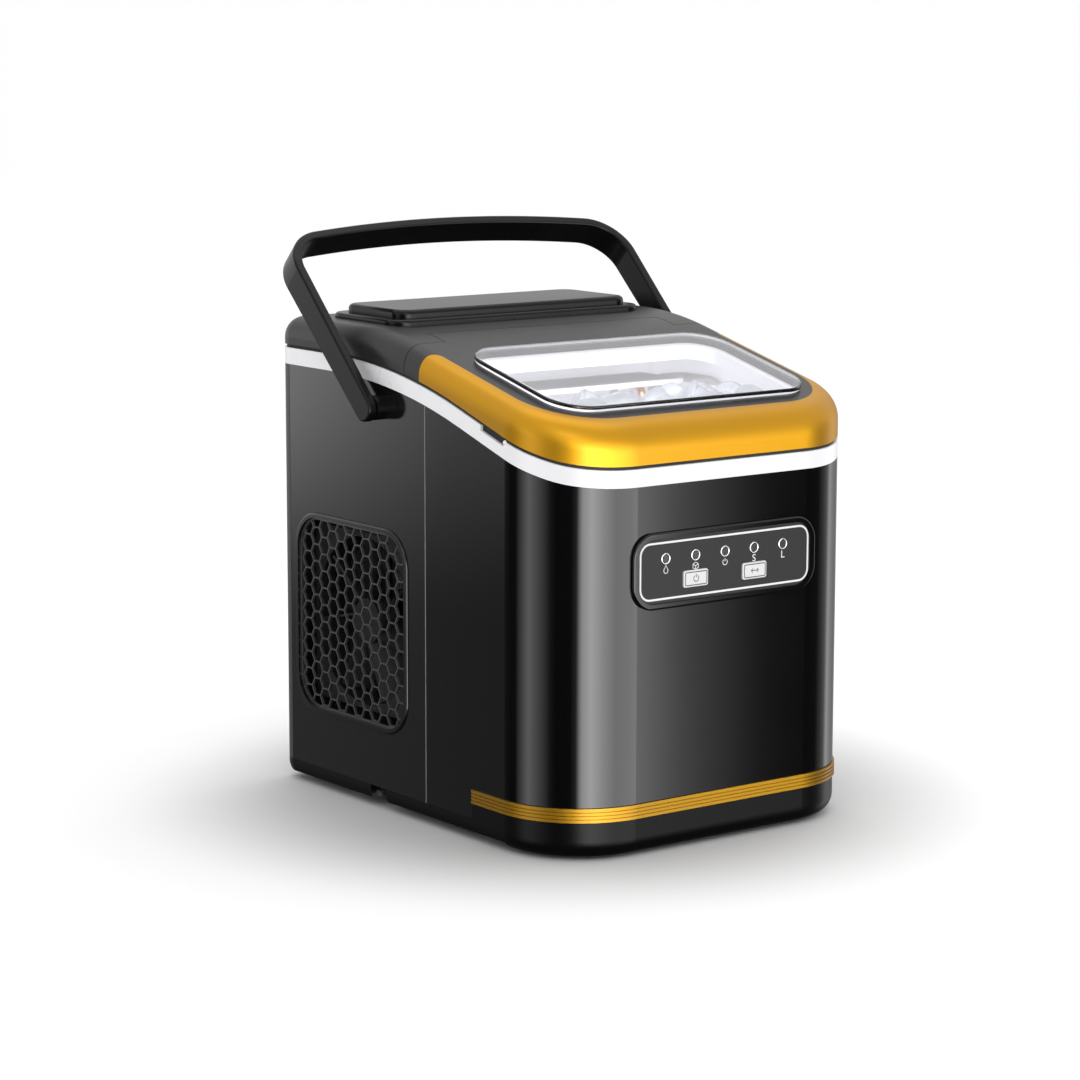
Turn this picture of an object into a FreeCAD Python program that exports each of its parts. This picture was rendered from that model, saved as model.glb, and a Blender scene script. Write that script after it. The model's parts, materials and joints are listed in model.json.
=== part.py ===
"""Countertop ice maker: a gloss shell over a compact refrigeration unit that freezes bullet ice.

Frame: millimetres, +Z up, the front looks along -Y, origin under the middle of the body on the floor.
"""
import FreeCAD, Part
import math
import os
import Sketcher
from FreeCAD import Placement, Rotation, Vector

X, Y, Z = Vector(1, 0, 0), Vector(0, 1, 0), Vector(0, 0, 1)
FAR = 400  # larger than the machine in every direction

# Driving dimensions, in millimetres and degrees
DIMENSIONS = {
    # outline of the body seen from above
    "body_width": 222, "body_depth": 279, "front_radius": 51, "rear_radius": 15, "wall": 2.5,
    # white band: height of its upper edge at the front and rear, and the bends of its slope
    "band_tall": 9.6, "rim_front": 212.4, "rim_rear": 259.2, "rim_start": -135.1, "rim_end": 16.3,
    "rim_front_bend": 132, "rim_rear_bend": 424, "gasket_tall": 1.7, "rim_gap": 2.0,
    "notch_front": -87.5, "notch_rear": -66.5, "notch_deep": 3,
    # top surface of the lid and the rear housing
    "top_slope": 0.243, "top_at_origin": 269.5, "top_flat": 277, "top_bend": 250,
    "round_front": 18, "round_side": 12, "round_rear": 15,
    # base
    "base_floor": 5, "base_plate": 3, "base_top": 13, "skirt_low": 0.8, "skirt_rear": -86.5,
    "base_round": 10, "base_wall": 3, "foot_radius": 8, "foot_x": 82, "foot_front_y": -100,
    "foot_rear_y": 108, "trim_low": 22, "trim_high": 29.8, "trim_rear": -58.7, "trim_proud": 1,
    # seams of the outer panels
    "seam_front": -14.1, "seam_rear": 124.5, "seam_gap": 0.3,
    # lid
    "lid_wall": 3.5, "trim_skin": 1.4, "trim_inset_front": 16.5, "trim_inset_side": 11,
    "trim_end": -8.5, "shoulder_y": 6, "tongue_half": 83, "hinge_y": 17.5, "hinge_z": 267.7,
    "tongue_reach": 5, "barrel_radius": 4.8, "hinge_pin_radius": 2.5,
    # window in the lid, along its slope
    "window_y": -64.75, "window_width": 178, "window_length": 101.4, "window_radius": 22,
    "window_foot": 7, "window_tall": 3.8, "window_thick": 1.8, "window_ledge": 2.2,
    "skirt_deep": 8,
    # carrying handle
    "handle_half": 123.6, "handle_strap": 5.65, "handle_reach": 132.3, "handle_corner": 28,
    "handle_slope": 0.1175, "handle_bow": 809, "handle_foot_wide": 14.85, "handle_grip_wide": 17.5,
    "handle_lean": 46, "pivot_y": 29.8, "pivot_z": 233.6, "pivot_pin_radius": 3, "boss_radius": 7,
    # side vents
    "vent_front": 3.3, "vent_rear": 118.5, "vent_low": 46, "vent_high": 165, "vent_radius": 22,
    "vent_rim": 3, "vent_proud": 1.2, "cell_pitch": 10, "cell_wall": 0.75, "grille_thick": 1.5,
    # control panel
    "panel_x": 0.4, "panel_z": 157, "bezel_wide": 129.4, "bezel_tall": 42, "bezel_radius": 14,
    "bezel_rim": 3.2, "bezel_proud": 2.5, "bezel_sunk": 1, "overlay_thick": 2.5, "button_wide": 17.3,
    "button_tall": 9.4, "button_x": 20.9, "button_z": 150.8, "button_gap": 0.35, "lens_radius": 2.3,
    "lens_z": 163.5, "lens_pitch": 20.8,
    # liner and basket
    "tub_half": 100, "tub_front": -127.5, "tub_rear": 50.5, "tub_floor": 60, "bay_floor": 163,
    "bay_front": -4.5, "tub_radius": 39.5, "basket_half": 88, "basket_front": -121.5,
    "basket_rear": -27.5, "basket_floor": 110, "basket_radius": 30, "basket_wall": 2,
    # ice mechanism
    "axis_y": 10.5, "axis_z": 205, "trough_radius": 29, "trough_wall": 2, "trough_half": 72,
    "finger_radius": 4.5, "finger_pitch": 15, "finger_low": 186, "finger_bar": 213,
    "flap_y": -21.5, "flap_z": 228, "flap_length": 42, "flap_half": 70,
    # cooling unit
    "fan_y": 61, "fan_z": 105, "fan_x": -92.5, "fan_radius": 48, "fan_hub": 13, "fan_blades": 7,
    "fan_deep": 18, "shroud_half": 52, "blade_long": 19, "blade_pitch": 32,
    "compressor_x": 50, "compressor_y": 84, "compressor_radius": 40, "compressor_tall": 106,
    "suction_x": 62, "capillary_x": -28, "pipe_high": 234, "pipe_hole_radius": 3.6,
    "condenser_x": -56, "condenser_low": 52, "condenser_high": 160, "fin_pitch": 4, "row_pitch": 14,
    # drain
    "drain_y": 34.5, "drain_z": 9.2, "spout_radius": 3.4, "drain_bore": 2.45,
    # cord inlet
    "gland_x": 72, "gland_z": 38, "gland_radius": 11, "gland_bore": 3.5, "gland_proud": 2.5,
}

document = FreeCAD.newDocument("ice_maker")
sheet = document.addObject("Spreadsheet::Sheet", "Sizes")
for row, (alias, value) in enumerate(DIMENSIONS.items(), 1):
    sheet.set(f"A{row}", alias)
    sheet.set(f"B{row}", str(value))
    sheet.setAlias(f"B{row}", alias)
document.recompute()

pieces = {}


def size(alias):
    """A driving dimension, read from the sheet."""
    return float(sheet.get(alias))


HALF_WIDTH = size("body_width") / 2
HALF_DEPTH = size("body_depth") / 2


# ---------------------------------------------------------------- helpers for document objects

def keep(name, item):
    """Name a finished sub-part and list it for export."""
    item.Label = name
    pieces[name] = item
    return item


def feature(name, shape, placement=None):
    """A sub-part whose surfaces are made with Part's own functions."""
    item = document.addObject("Part::Feature", name)
    item.Shape = shape
    if placement:
        item.Placement = placement
    return keep(name, item)


def bound(kind, name, base, axis=Z, **sizes):
    """A Part primitive whose sizes are expressions on the sheet."""
    item = document.addObject(kind, name)
    for key, expression in sizes.items():
        item.setExpression(key, str(expression))
    item.Placement = Placement(Vector(*base), Rotation(Z, axis))
    return item


def cylinder(name, base, axis, radius, height):
    return bound("Part::Cylinder", name, base, axis, Radius=radius, Height=height)


def joined(name, items):
    """Several touching solids made one."""
    item = document.addObject("Part::MultiFuse", name)
    item.Shapes = items
    return keep(name, item)


def grouped(name, items):
    """Identical separate solids under one name."""
    item = document.addObject("Part::Compound", name)
    item.Links = items
    return keep(name, item)


def bored(name, solid, tools):
    """A solid with one or more tools taken out."""
    tool = tools[0]
    if len(tools) > 1:
        tool = document.addObject("Part::MultiFuse", f"{name}_tools")
        tool.Shapes = tools
    item = document.addObject("Part::Cut", name)
    item.Base = solid
    item.Tool = tool
    return keep(name, item)


def new_body(name, base=(0, 0, 0), rotation=Rotation()):
    body = document.addObject("PartDesign::Body", name)
    body.Placement = Placement(Vector(*base), rotation)
    return keep(name, body)


def new_sketch(body, role, name):
    plane = next(item for item in body.Origin.OriginFeatures if item.Role == role)
    sketch = body.newObject("Sketcher::SketchObject", name)
    sketch.AttachmentSupport = (plane, [""])
    sketch.MapMode = "FlatFace"
    return sketch


def bind(sketch, constraint, expression):
    """Add a dimension and tie it to the sheet."""
    index = sketch.addConstraint(constraint)
    name = f"size{index}"
    sketch.renameConstraint(index, name)
    sketch.setExpression(f"Constraints.{name}", expression)


def rounded_rectangle(sketch, wide, tall, radius, x="0", y="0"):
    """Four lines and four tangent arcs; every size is an expression on the sheet."""
    first = sketch.GeometryCount
    w, t, r = 10.0, 8.0, 2.0
    corners = ((w - r, -t + r, 270), (w - r, t - r, 0), (-w + r, t - r, 90), (-w + r, -t + r, 180))
    for cx, cy, start in corners:
        low, high = math.radians(start), math.radians(start + 90)
        circle = Part.Circle(Vector(cx, cy, 0), Z, r)
        sketch.addGeometry(Part.ArcOfCircle(circle, low, high), False)
    runs = (((-w + r, -t), (w - r, -t)), ((w, -t + r), (w, t - r)),
            ((w - r, t), (-w + r, t)), ((-w, t - r), (-w, -t + r)))
    for start, end in runs:
        sketch.addGeometry(Part.LineSegment(Vector(*start, 0), Vector(*end, 0)), False)
    for side in range(4):
        line, arc = first + 4 + side, first + side
        following = first + 4 + (side + 1) % 4
        sketch.addConstraint(Sketcher.Constraint("Tangent", line, 2, arc, 1))
        sketch.addConstraint(Sketcher.Constraint("Tangent", arc, 2, following, 1))
        if side:
            sketch.addConstraint(Sketcher.Constraint("Equal", first, arc))
    sketch.addConstraint(Sketcher.Constraint("Horizontal", first + 4))
    sketch.addConstraint(Sketcher.Constraint("Vertical", first + 5))
    sketch.addConstraint(Sketcher.Constraint("Horizontal", first + 6))
    sketch.addConstraint(Sketcher.Constraint("Vertical", first + 7))
    bind(sketch, Sketcher.Constraint("DistanceX", -1, 1, first + 5, 1, w), f"({wide})/2+({x})")
    bind(sketch, Sketcher.Constraint("DistanceX", first + 7, 1, -1, 1, w), f"({wide})/2-({x})")
    bind(sketch, Sketcher.Constraint("DistanceY", -1, 1, first + 6, 1, t), f"({tall})/2+({y})")
    bind(sketch, Sketcher.Constraint("DistanceY", first + 4, 1, -1, 1, t), f"({tall})/2-({y})")
    bind(sketch, Sketcher.Constraint("Radius", first, r), radius)


def circle(sketch, radius, x="0", y="0"):
    index = sketch.addGeometry(Part.Circle(Vector(1, 1, 0), Z, 2), False)
    bind(sketch, Sketcher.Constraint("DistanceX", -1, 1, index, 3, 1), x)
    bind(sketch, Sketcher.Constraint("DistanceY", -1, 1, index, 3, 1), y)
    bind(sketch, Sketcher.Constraint("Radius", index, 2), radius)


def pad(body, sketch, length, reverse=False):
    item = body.newObject("PartDesign::Pad", "Pad")
    item.Profile = sketch
    item.setExpression("Length", length)
    item.Reversed = reverse
    sketch.Visibility = False
    return item


def pocket(body, sketch, length, reverse=False):
    """A pocket that is checked to take something away."""
    document.recompute()
    before = body.Shape.Volume
    item = body.newObject("PartDesign::Pocket", "Pocket")
    item.Profile = sketch
    item.setExpression("Length", length)
    item.Reversed = reverse
    document.recompute()
    if body.Shape.Volume > before - 0.1:
        raise RuntimeError(f"{body.Label}: a pocket cut nothing")
    return item


def edge_names(shape, wanted):
    """Names of the edges whose middle point passes a test."""
    names = []
    for index, edge in enumerate(shape.Edges, 1):
        middle = edge.valueAt((edge.FirstParameter + edge.LastParameter) / 2)
        if wanted(middle):
            names.append(f"Edge{index}")
    return names


def round_edges(body, radius, wanted):
    """Fillet the edges of a body's last feature that pass a test in the body's own frame."""
    document.recompute()
    last = body.Tip
    item = body.newObject("PartDesign::Fillet", "Round")
    item.Base = (last, edge_names(last.Shape, wanted))
    item.setExpression("Radius", radius)
    return item


# ---------------------------------------------------------------- helpers for shapes

def rounded_path(points, radii):
    """Edges of straight runs joined by tangent arcs, one radius for each inner point."""
    edges = []
    start = points[0]
    for before, corner, after, radius in zip(points, points[1:], points[2:], radii):
        back, ahead = (before - corner).normalize(), (after - corner).normalize()
        half = back.getAngle(ahead) / 2
        reach = radius / math.tan(half)
        enter, leave = corner + back * reach, corner + ahead * reach
        inward = (back + ahead).normalize()
        crown = corner + inward * (radius / math.sin(half) - radius)
        if (enter - start).Length > 1e-6:
            edges.append(Part.LineSegment(start, enter).toShape())
        edges.append(Part.Arc(enter, crown, leave).toShape())
        start = leave
    edges.append(Part.LineSegment(start, points[-1]).toShape())
    return edges


def closed_face(edges):
    return Part.Face(Part.Wire(Part.__sortEdges__(edges)))


def rounded_block(x_half, y_low, y_high, z_low, z_high, front, rear):
    """A block with vertical corner rounds, one radius at the front and one at the rear."""
    middle = (y_low + y_high) / 2
    points = [Vector(0, y_low, z_low), Vector(x_half, y_low, z_low), Vector(x_half, y_high, z_low),
              Vector(-x_half, y_high, z_low), Vector(-x_half, y_low, z_low), Vector(0, y_low, z_low)]
    edges = rounded_path(points, (front, rear, rear, front))
    return closed_face(edges).extrude(Vector(0, 0, z_high - z_low))


def body_block(offset, z_low, z_high):
    """The body's outline, grown or shrunk, between two heights."""
    return rounded_block(HALF_WIDTH + offset, -HALF_DEPTH - offset, HALF_DEPTH + offset, z_low, z_high,
                         size("front_radius") + offset, size("rear_radius") + offset)


def body_ring(outer, inner, z_low, z_high):
    return body_block(outer, z_low, z_high).cut(body_block(inner, z_low - 1, z_high + 1))


def slab(y_low, y_high, z_low=-FAR, z_high=FAR, x_low=-FAR, x_high=FAR):
    return Part.makeBox(x_high - x_low, y_high - y_low, z_high - z_low, Vector(x_low, y_low, z_low))


def below(path, radii, raise_by=0):
    """Everything under a side profile that runs from front to rear."""
    points = [Vector(-FAR, y, z + raise_by) for y, z in path]
    edges = rounded_path(points, radii)
    front, rear = Vector(-FAR, points[0].y, -FAR), Vector(-FAR, points[-1].y, -FAR)
    edges += [Part.LineSegment(points[-1], rear).toShape(), Part.LineSegment(rear, front).toShape(),
              Part.LineSegment(front, points[0]).toShape()]
    return closed_face(edges).extrude(Vector(2 * FAR, 0, 0))


def below_rim(raise_by=0):
    """Everything under the white band's upper edge, moved up by an amount."""
    path = ((-FAR, size("rim_front")), (size("rim_start"), size("rim_front")),
            (size("rim_end"), size("rim_rear")), (FAR, size("rim_rear")))
    return below(path, (size("rim_front_bend"), size("rim_rear_bend")), raise_by)


def hood(offset):
    """The rounded top of the machine: its outline under the sloping top, with its upper edge rounded."""
    slope, level = size("top_slope"), size("top_at_origin")
    crest = (size("top_flat") - level) / slope
    path = ((-FAR, level - slope * FAR), (crest, size("top_flat")), (FAR, size("top_flat")))
    raw = body_block(offset, 150, 330).common(below(path, (size("top_bend"),), offset))
    front, side, rear = (size(name) + offset for name in ("round_front", "round_side", "round_rear"))

    def radius_at(point):
        if point.y < -HALF_DEPTH - offset + 1:
            return front
        return rear if point.y > HALF_DEPTH + offset - 1 else side

    block = document.addObject("Part::Feature", "hood_block")
    block.Shape = raw
    rounds = document.addObject("Part::Fillet", "hood")
    rounds.Base = block
    chosen = []
    for index, edge in enumerate(raw.Edges, 1):
        ends = edge.valueAt(edge.FirstParameter), edge.valueAt(edge.LastParameter)
        middle = edge.valueAt((edge.FirstParameter + edge.LastParameter) / 2)
        crosses_top = abs(middle.x) < 1 and abs(middle.y) < HALF_DEPTH + offset - 1
        if min(end.z for end in ends) > 200 and not crosses_top:
            chosen.append((index, radius_at(ends[0]), radius_at(ends[1])))
    rounds.Edges = chosen
    document.recompute()
    return rounds.Shape.copy()


def tube_along(points, radius, bend_share=0.45):
    """A round bar along straight runs joined by the largest arcs that fit."""
    points = [Vector(*point) for point in points]
    radii = []
    for before, corner, after in zip(points, points[1:], points[2:]):
        run = min((before - corner).Length, (after - corner).Length)
        turn = math.pi - (before - corner).getAngle(after - corner)
        radii.append(bend_share * run / math.tan(turn / 2))
    path = Part.Wire(rounded_path(points, radii))
    start = Part.Wire(Part.Circle(points[0], points[1] - points[0], radius).toShape())
    tube = path.makePipeShell([start], True, False)
    expected = math.pi * radius ** 2 * path.Length
    if abs(tube.Volume / expected - 1) > 0.01:
        raise RuntimeError("a tube's volume differs from its section times its length")
    return tube


def ring_block(wide, long, radius, z_low, z_high):
    """A rounded plate centred on the origin of its own frame."""
    return rounded_block(wide / 2, -long / 2, long / 2, z_low, z_high, radius, radius)


# ---------------------------------------------------------------- base

def make_base():
    low, floor = size("skirt_low"), size("base_floor")
    top, wall, inset = size("base_top"), size("base_wall"), size("base_round")
    block = body_block(0, low, size("trim_low") - 0.1)
    bottom = [edge for edge in block.Edges if max(v.Z for v in edge.Vertexes) < low + 0.01]
    block = block.makeFillet(inset, bottom)
    hollow = body_block(-wall, floor + size("base_plate"), 60)
    hollow_low = [edge for edge in hollow.Edges if max(v.Z for v in edge.Vertexes) < floor + 4]
    hollow = hollow.makeFillet(inset - wall, hollow_low)
    under_skirt = body_block(-inset - 2, -5, floor).common(slab(-FAR, size("skirt_rear") - wall))
    block = block.cut(hollow)
    block = block.cut(slab(size("skirt_rear"), FAR, -5, floor))
    block = block.cut(under_skirt)
    block = block.cut(slab(size("trim_rear"), FAR, top, 60))
    drain_pocket = slab(size("drain_y") - 7.5, size("drain_y") + 7.5, -5, top + 1, -FAR, -86)
    feature("base_tray", block.cut(drain_pocket))

    feet = []
    for side in (-1, 1):
        for end in ("foot_front_y", "foot_rear_y"):
            base = (side * size("foot_x"), size(end), 0)
            feet.append(cylinder(f"foot_{len(feet)}", base, Z, "Sizes.foot_radius", "Sizes.base_floor"))
    grouped("feet", feet)

    screws = []
    for side in (-1, 1):
        for y in (-60, 70):
            base = (side * 96, y, size("base_floor") - 1.2)
            screws.append(cylinder(f"base_screw_{len(screws)}", base, Z, "3", "1.2"))
    grouped("base_screws", screws)


def make_base_trim():
    """Metal strip of four ridges round the foot of the front shell."""
    low, high, proud = size("trim_low"), size("trim_high"), size("trim_proud")
    strip = body_ring(proud, -size("wall"), low, high)
    ridge = (high - low) / 4
    for step in (1, 2, 3):
        middle = low + step * ridge
        strip = strip.cut(body_ring(proud + 2, proud - 0.7, middle - 0.3, middle + 0.3))
    feature("base_trim", strip.common(slab(-FAR, size("trim_rear"))))


# ---------------------------------------------------------------- outer panels

def panel_outline(grow, y_low, y_high):
    """The control panel's outline pushed through the front wall."""
    wide, tall = size("bezel_wide") + 2 * grow, size("bezel_tall") + 2 * grow
    block = ring_block(wide, tall, size("bezel_radius") + grow, 0, y_high - y_low)
    block.rotate(Vector(), X, 90)
    block.translate(Vector(size("panel_x"), y_high, size("panel_z")))
    return block


def make_shells():
    wall, gap = size("wall"), size("seam_gap") / 2
    skin = body_ring(0, -wall, size("base_top") + 0.1, 300).common(below_rim(-size("band_tall") - 0.1))
    front_y, rear_y = size("seam_front"), size("seam_rear")

    shell = skin.common(slab(-FAR, front_y - gap))
    shell = shell.cut(slab(-FAR, size("trim_rear") + 0.1, -FAR, size("trim_high") + 0.1))
    shell = shell.cut(panel_outline(0.1, -FAR, -HALF_DEPTH + size("bezel_sunk")))
    shell = shell.cut(panel_outline(-size("bezel_rim") - 2, -FAR, 0))
    for side in (-1, 1):
        for lift in (-14, 14):
            base = Vector(side * 64 + size("panel_x"), -HALF_DEPTH + 1.2, size("panel_z") + lift)
            shell = shell.fuse(Part.makeCylinder(2.5, 5.1, base, Y))
    feature("front_shell", shell.removeSplitter())

    for side, name in ((-1, "left"), (1, "right")):
        x_low, x_high = (-FAR, 0) if side < 0 else (0, FAR)
        panel = skin.common(slab(front_y + gap, rear_y - gap, x_low=x_low, x_high=x_high))
        panel = panel.cut(vent_outline(0.1, side, 0, FAR))
        if side < 0:
            panel = panel.cut(slab(size("drain_y") - 7.5, size("drain_y") + 7.5, -5, size("base_top")))
        feature(f"{name}_side_panel", panel)

    back = skin.common(slab(rear_y + gap, FAR))
    for level in range(9):
        back = back.cut(slab(100, FAR, 120 + 12 * level, 124 + 12 * level, -62, 62))
    back = back.cut(Part.makeCylinder(size("gland_radius") - 2.9, 20,
                                      Vector(size("gland_x"), 130, size("gland_z")), Y))
    feature("back_panel", back)

    screws = []
    for x, z in ((-92, 30), (92, 30), (-92, 140), (92, 140), (-92, 238), (92, 238)):
        base = (x, HALF_DEPTH, z)
        screws.append(cylinder(f"back_screw_{len(screws)}", base, Y, "3.2", "1.2"))
    grouped("back_screws", screws)


def make_band():
    """White band under the lid with finger notches in its upper edge, and the dark gasket behind it."""
    deep = size("notch_deep")
    band = body_ring(0, -deep - 1, 190, 300).common(below_rim()).cut(below_rim(-size("band_tall")))
    notch = slab(size("notch_front"), size("notch_rear")).cut(below_rim(-deep))
    notch = notch.cut(body_block(-deep, 150, 330))
    feature("waist_band", band.cut(notch))
    gasket = body_ring(-1.2, -deep - 2, 190, 300).common(below_rim(size("gasket_tall"))).cut(below_rim(0.02))
    lining = body_ring(-1.8, -deep + 0.05, 190, 300).common(below_rim(0.5)).cut(below_rim(-deep + 0.05))
    lining = lining.common(slab(size("notch_front") + 0.1, size("notch_rear") - 0.1))
    feature("top_gasket", gasket.fuse(lining).removeSplitter())


# ---------------------------------------------------------------- side vents

def vent_outline(grow, side, depth_low, depth_high):
    """The vent's rounded outline pushed through a side wall, between two distances from the middle."""
    long = size("vent_rear") - size("vent_front") + 2 * grow
    tall = size("vent_high") - size("vent_low") + 2 * grow
    block = ring_block(tall, long, size("vent_radius") + grow, depth_low, depth_high)
    block.rotate(Vector(), Y, 90 * side)
    middle = Vector(0, (size("vent_front") + size("vent_rear")) / 2,
                    (size("vent_low") + size("vent_high")) / 2)
    block.translate(middle)
    return block


def honeycomb(side):
    """Hexagonal holes with flat tops, in columns from front to rear."""
    pitch = size("cell_pitch")
    corner = (pitch - size("cell_wall")) / math.sqrt(3)
    column = pitch * math.sqrt(3) / 2
    cells = []
    for step in range(16):
        y = size("vent_front") + column * step
        for level in range(14):
            z = size("vent_low") + pitch * (level + 0.5 * (step % 2))
            points = [Vector(0, y + corner * math.cos(math.radians(60 * turn)),
                             z + corner * math.sin(math.radians(60 * turn))) for turn in range(7)]
            cell = Part.Face(Part.makePolygon(points)).extrude(Vector(side * FAR, 0, 0))
            cells.append(cell)
    margin = vent_outline(-size("vent_rim") - 1.2, side, 10, FAR - 10)
    return Part.makeCompound(cells).common(margin)


def make_vents():
    rim = size("vent_rim")
    for side, name in ((-1, "left"), (1, "right")):
        face = HALF_WIDTH + size("vent_proud")
        bezel = vent_outline(0, side, HALF_WIDTH - 2.5, face)
        outer = [edge for edge in bezel.Edges if min(abs(v.X) for v in edge.Vertexes) > face - 0.01]
        bezel = bezel.makeFillet(1, outer)
        bezel = bezel.cut(vent_outline(-rim, side, 90, 130))
        feature(f"vent_bezel_{name}", bezel)
        plate = vent_outline(-rim - 0.1, side, HALF_WIDTH - 2.2, HALF_WIDTH - 2.2 + size("grille_thick"))
        feature(f"vent_grille_{name}", plate.cut(honeycomb(side)))


# ---------------------------------------------------------------- lid and rear housing

def lid_place(lift=0):
    """Placement of things made flat and laid on the lid's slope, centred on the window."""
    y = size("window_y")
    z = size("top_at_origin") + size("top_slope") * y
    tilt = math.degrees(math.atan(size("top_slope")))
    turn = Rotation(X, tilt)
    return Placement(Vector(0, y, z) + turn.multVec(Vector(0, 0, lift)), turn)


def trim_zone():
    """Plan of the metal-look trim: the rounded border of the lid, open at the rear."""
    side = HALF_WIDTH - size("trim_inset_side")
    front = -HALF_DEPTH + size("trim_inset_front")
    end = size("trim_end")
    points = [Vector(-FAR, end, 0), Vector(-side, end, 0), Vector(-side, front, 0),
              Vector(side, front, 0), Vector(side, end, 0), Vector(FAR, end, 0)]
    edges = rounded_path(points, (8, 40, 40, 8))
    far_right, far_left = Vector(FAR, -FAR, 0), Vector(-FAR, -FAR, 0)
    edges += [Part.LineSegment(points[-1], far_right).toShape(),
              Part.LineSegment(far_right, far_left).toShape(),
              Part.LineSegment(far_left, points[0]).toShape()]
    return closed_face(edges).extrude(Vector(0, 0, FAR))


def hinge_cylinder(radius, half_length):
    base = Vector(-half_length, size("hinge_y"), size("hinge_z"))
    return Part.makeCylinder(radius, 2 * half_length, base, X)


def make_top():
    outer = hood(0)
    hinge_y, hinge_z, half = size("hinge_y"), size("hinge_z"), size("tongue_half")
    reach, shoulder = size("tongue_reach"), size("shoulder_y")
    under_lid = below_rim(size("rim_gap"))

    # trim round the lid's edge
    skin = outer.cut(hood(-size("trim_skin"))).common(trim_zone()).cut(under_lid)
    feature("lid_trim", skin)

    # lid shell with its tongue and hinge barrel
    shell = outer.cut(hood(-size("lid_wall")))
    tongue = half - 0.3
    plan = slab(-FAR, shoulder - 0.25).fuse(slab(-FAR, hinge_y + reach, hinge_z, FAR, -tongue, tongue))
    plan = plan.fuse(slab(-FAR, hinge_y, x_low=-tongue, x_high=tongue))
    barrel = hinge_cylinder(size("barrel_radius"), tongue)
    web = slab(hinge_y - 6, hinge_y + reach, hinge_z, FAR, -tongue, tongue)
    web = web.common(outer).common(hinge_cylinder(8.1, half))
    shell = shell.common(plan).fuse(barrel).fuse(web).cut(under_lid).cut(skin)
    ledge = size("window_ledge")
    cutout = ring_block(size("window_width") - 2 * ledge, size("window_length") - 2 * ledge,
                        size("window_radius") - ledge, -20, 20)
    cutout.Placement = lid_place()
    shell = shell.cut(cutout)
    for side in (-1, 1):
        start = Vector(side * (half - 8), hinge_y, hinge_z)
        bore = Part.makeCylinder(size("hinge_pin_radius") + 0.06, 12, start, X * side)
        shell = shell.cut(bore)
    feature("lid_shell", shell.removeSplitter())

    # fixed rear housing with the pocket that the tongue turns in
    house = outer.cut(hood(-size("wall"))).cut(below_rim(size("rim_gap") - 0.1))
    pocket_half = half + 0.2
    clear = slab(-FAR, shoulder + 0.25)
    clear = clear.fuse(slab(-FAR, hinge_y + reach + 0.6, x_low=-pocket_half, x_high=pocket_half))
    clear = clear.fuse(hinge_cylinder(8.5, pocket_half))
    house = house.cut(clear)
    for side in (-1, 1):
        x_low, x_high = sorted((side * (half + 0.6), side * (half + 6)))
        lug = slab(hinge_y - 6, hinge_y + 6, hinge_z - 6, hinge_z + 9, x_low, x_high)
        house = house.fuse(lug.common(outer))
    pin_bore = hinge_cylinder(size("hinge_pin_radius"), half + 20)
    feature("top_housing", house.cut(pin_bore).removeSplitter())

    pins = []
    for side in (-1, 1):
        base = (side * (half - 7), hinge_y, hinge_z)
        pins.append(cylinder(f"hinge_pin_{len(pins)}", base, X * side, "Sizes.hinge_pin_radius - 0.02", "13"))
    grouped("lid_hinge_pins", pins)


def make_window():
    wide, long, radius = size("window_width"), size("window_length"), size("window_radius")
    foot, tall, thick = size("window_foot"), size("window_tall"), size("window_thick")
    block = ring_block(wide, long, radius, 0.05, tall)
    top = [edge for edge in block.Edges if min(v.Z for v in edge.Vertexes) > tall - 0.01]
    block = block.makeFillet(2.2, top)
    inset = size("window_ledge") + 0.3
    block = block.fuse(ring_block(wide - 2 * inset, long - 2 * inset, radius - inset, -3.3, 1))
    hollow = ring_block(wide - 2 * foot, long - 2 * foot, radius - foot, -5, tall - thick)
    feature("lid_window", block.cut(hollow), lid_place())
    frame = ring_block(wide + 8, long + 5, radius + 3, -2.6, 0)
    skirt_out = foot - 2
    skirt = ring_block(wide - 2 * skirt_out, long - 2 * skirt_out, radius - skirt_out, -size("skirt_deep"), 0)
    frame = frame.fuse(skirt)
    opening = ring_block(wide - 2 * foot, long - 2 * foot, radius - foot, -20, 5)
    frame = frame.cut(opening).removeSplitter()
    feature("lid_inner_frame", frame, lid_place(-size("lid_wall") - 0.15))


def make_mechanism_cover():
    """Low moulded cover in two tiers, behind the lid."""
    lower = ring_block(180, 74, 13, 0, 8)
    upper = ring_block(166, 62, 10, 0, 13)
    cover = lower.makeFillet(2, [e for e in lower.Edges if min(v.Z for v in e.Vertexes) > 7.9])
    upper = upper.makeFillet(3, [e for e in upper.Edges if min(v.Z for v in e.Vertexes) > 12.9])
    cover = cover.fuse(upper)
    cover.translate(Vector(0, 79.5, size("top_flat") - 5))
    crest = (size("top_flat") - size("top_at_origin")) / size("top_slope")
    path = ((-FAR, size("top_at_origin") - size("top_slope") * FAR), (crest, size("top_flat")),
            (FAR, size("top_flat")))
    feature("mechanism_cover", cover.cut(below(path, (size("top_bend"),))).removeSplitter())


# ---------------------------------------------------------------- handle

def strap_outline(inset):
    """The handle's outline in its own plane: arms, round corners and a gently bowed grip."""
    slope, half = size("handle_slope"), size("handle_half") - inset
    bow = size("handle_bow")
    rise = bow * (math.sqrt(1 + slope ** 2) - 1)
    apex = size("handle_reach") + rise - inset * math.sqrt(1 + slope ** 2)
    corner = apex - half * slope
    points = [Vector(-half, 0, -20), Vector(-half, 0, corner), Vector(0, 0, apex),
              Vector(half, 0, corner), Vector(half, 0, -20)]
    radii = (size("handle_corner") - inset, bow - inset, size("handle_corner") - inset)
    edges = rounded_path(points, radii)
    edges.append(Part.LineSegment(points[-1], points[0]).toShape())
    return closed_face(edges)


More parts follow.
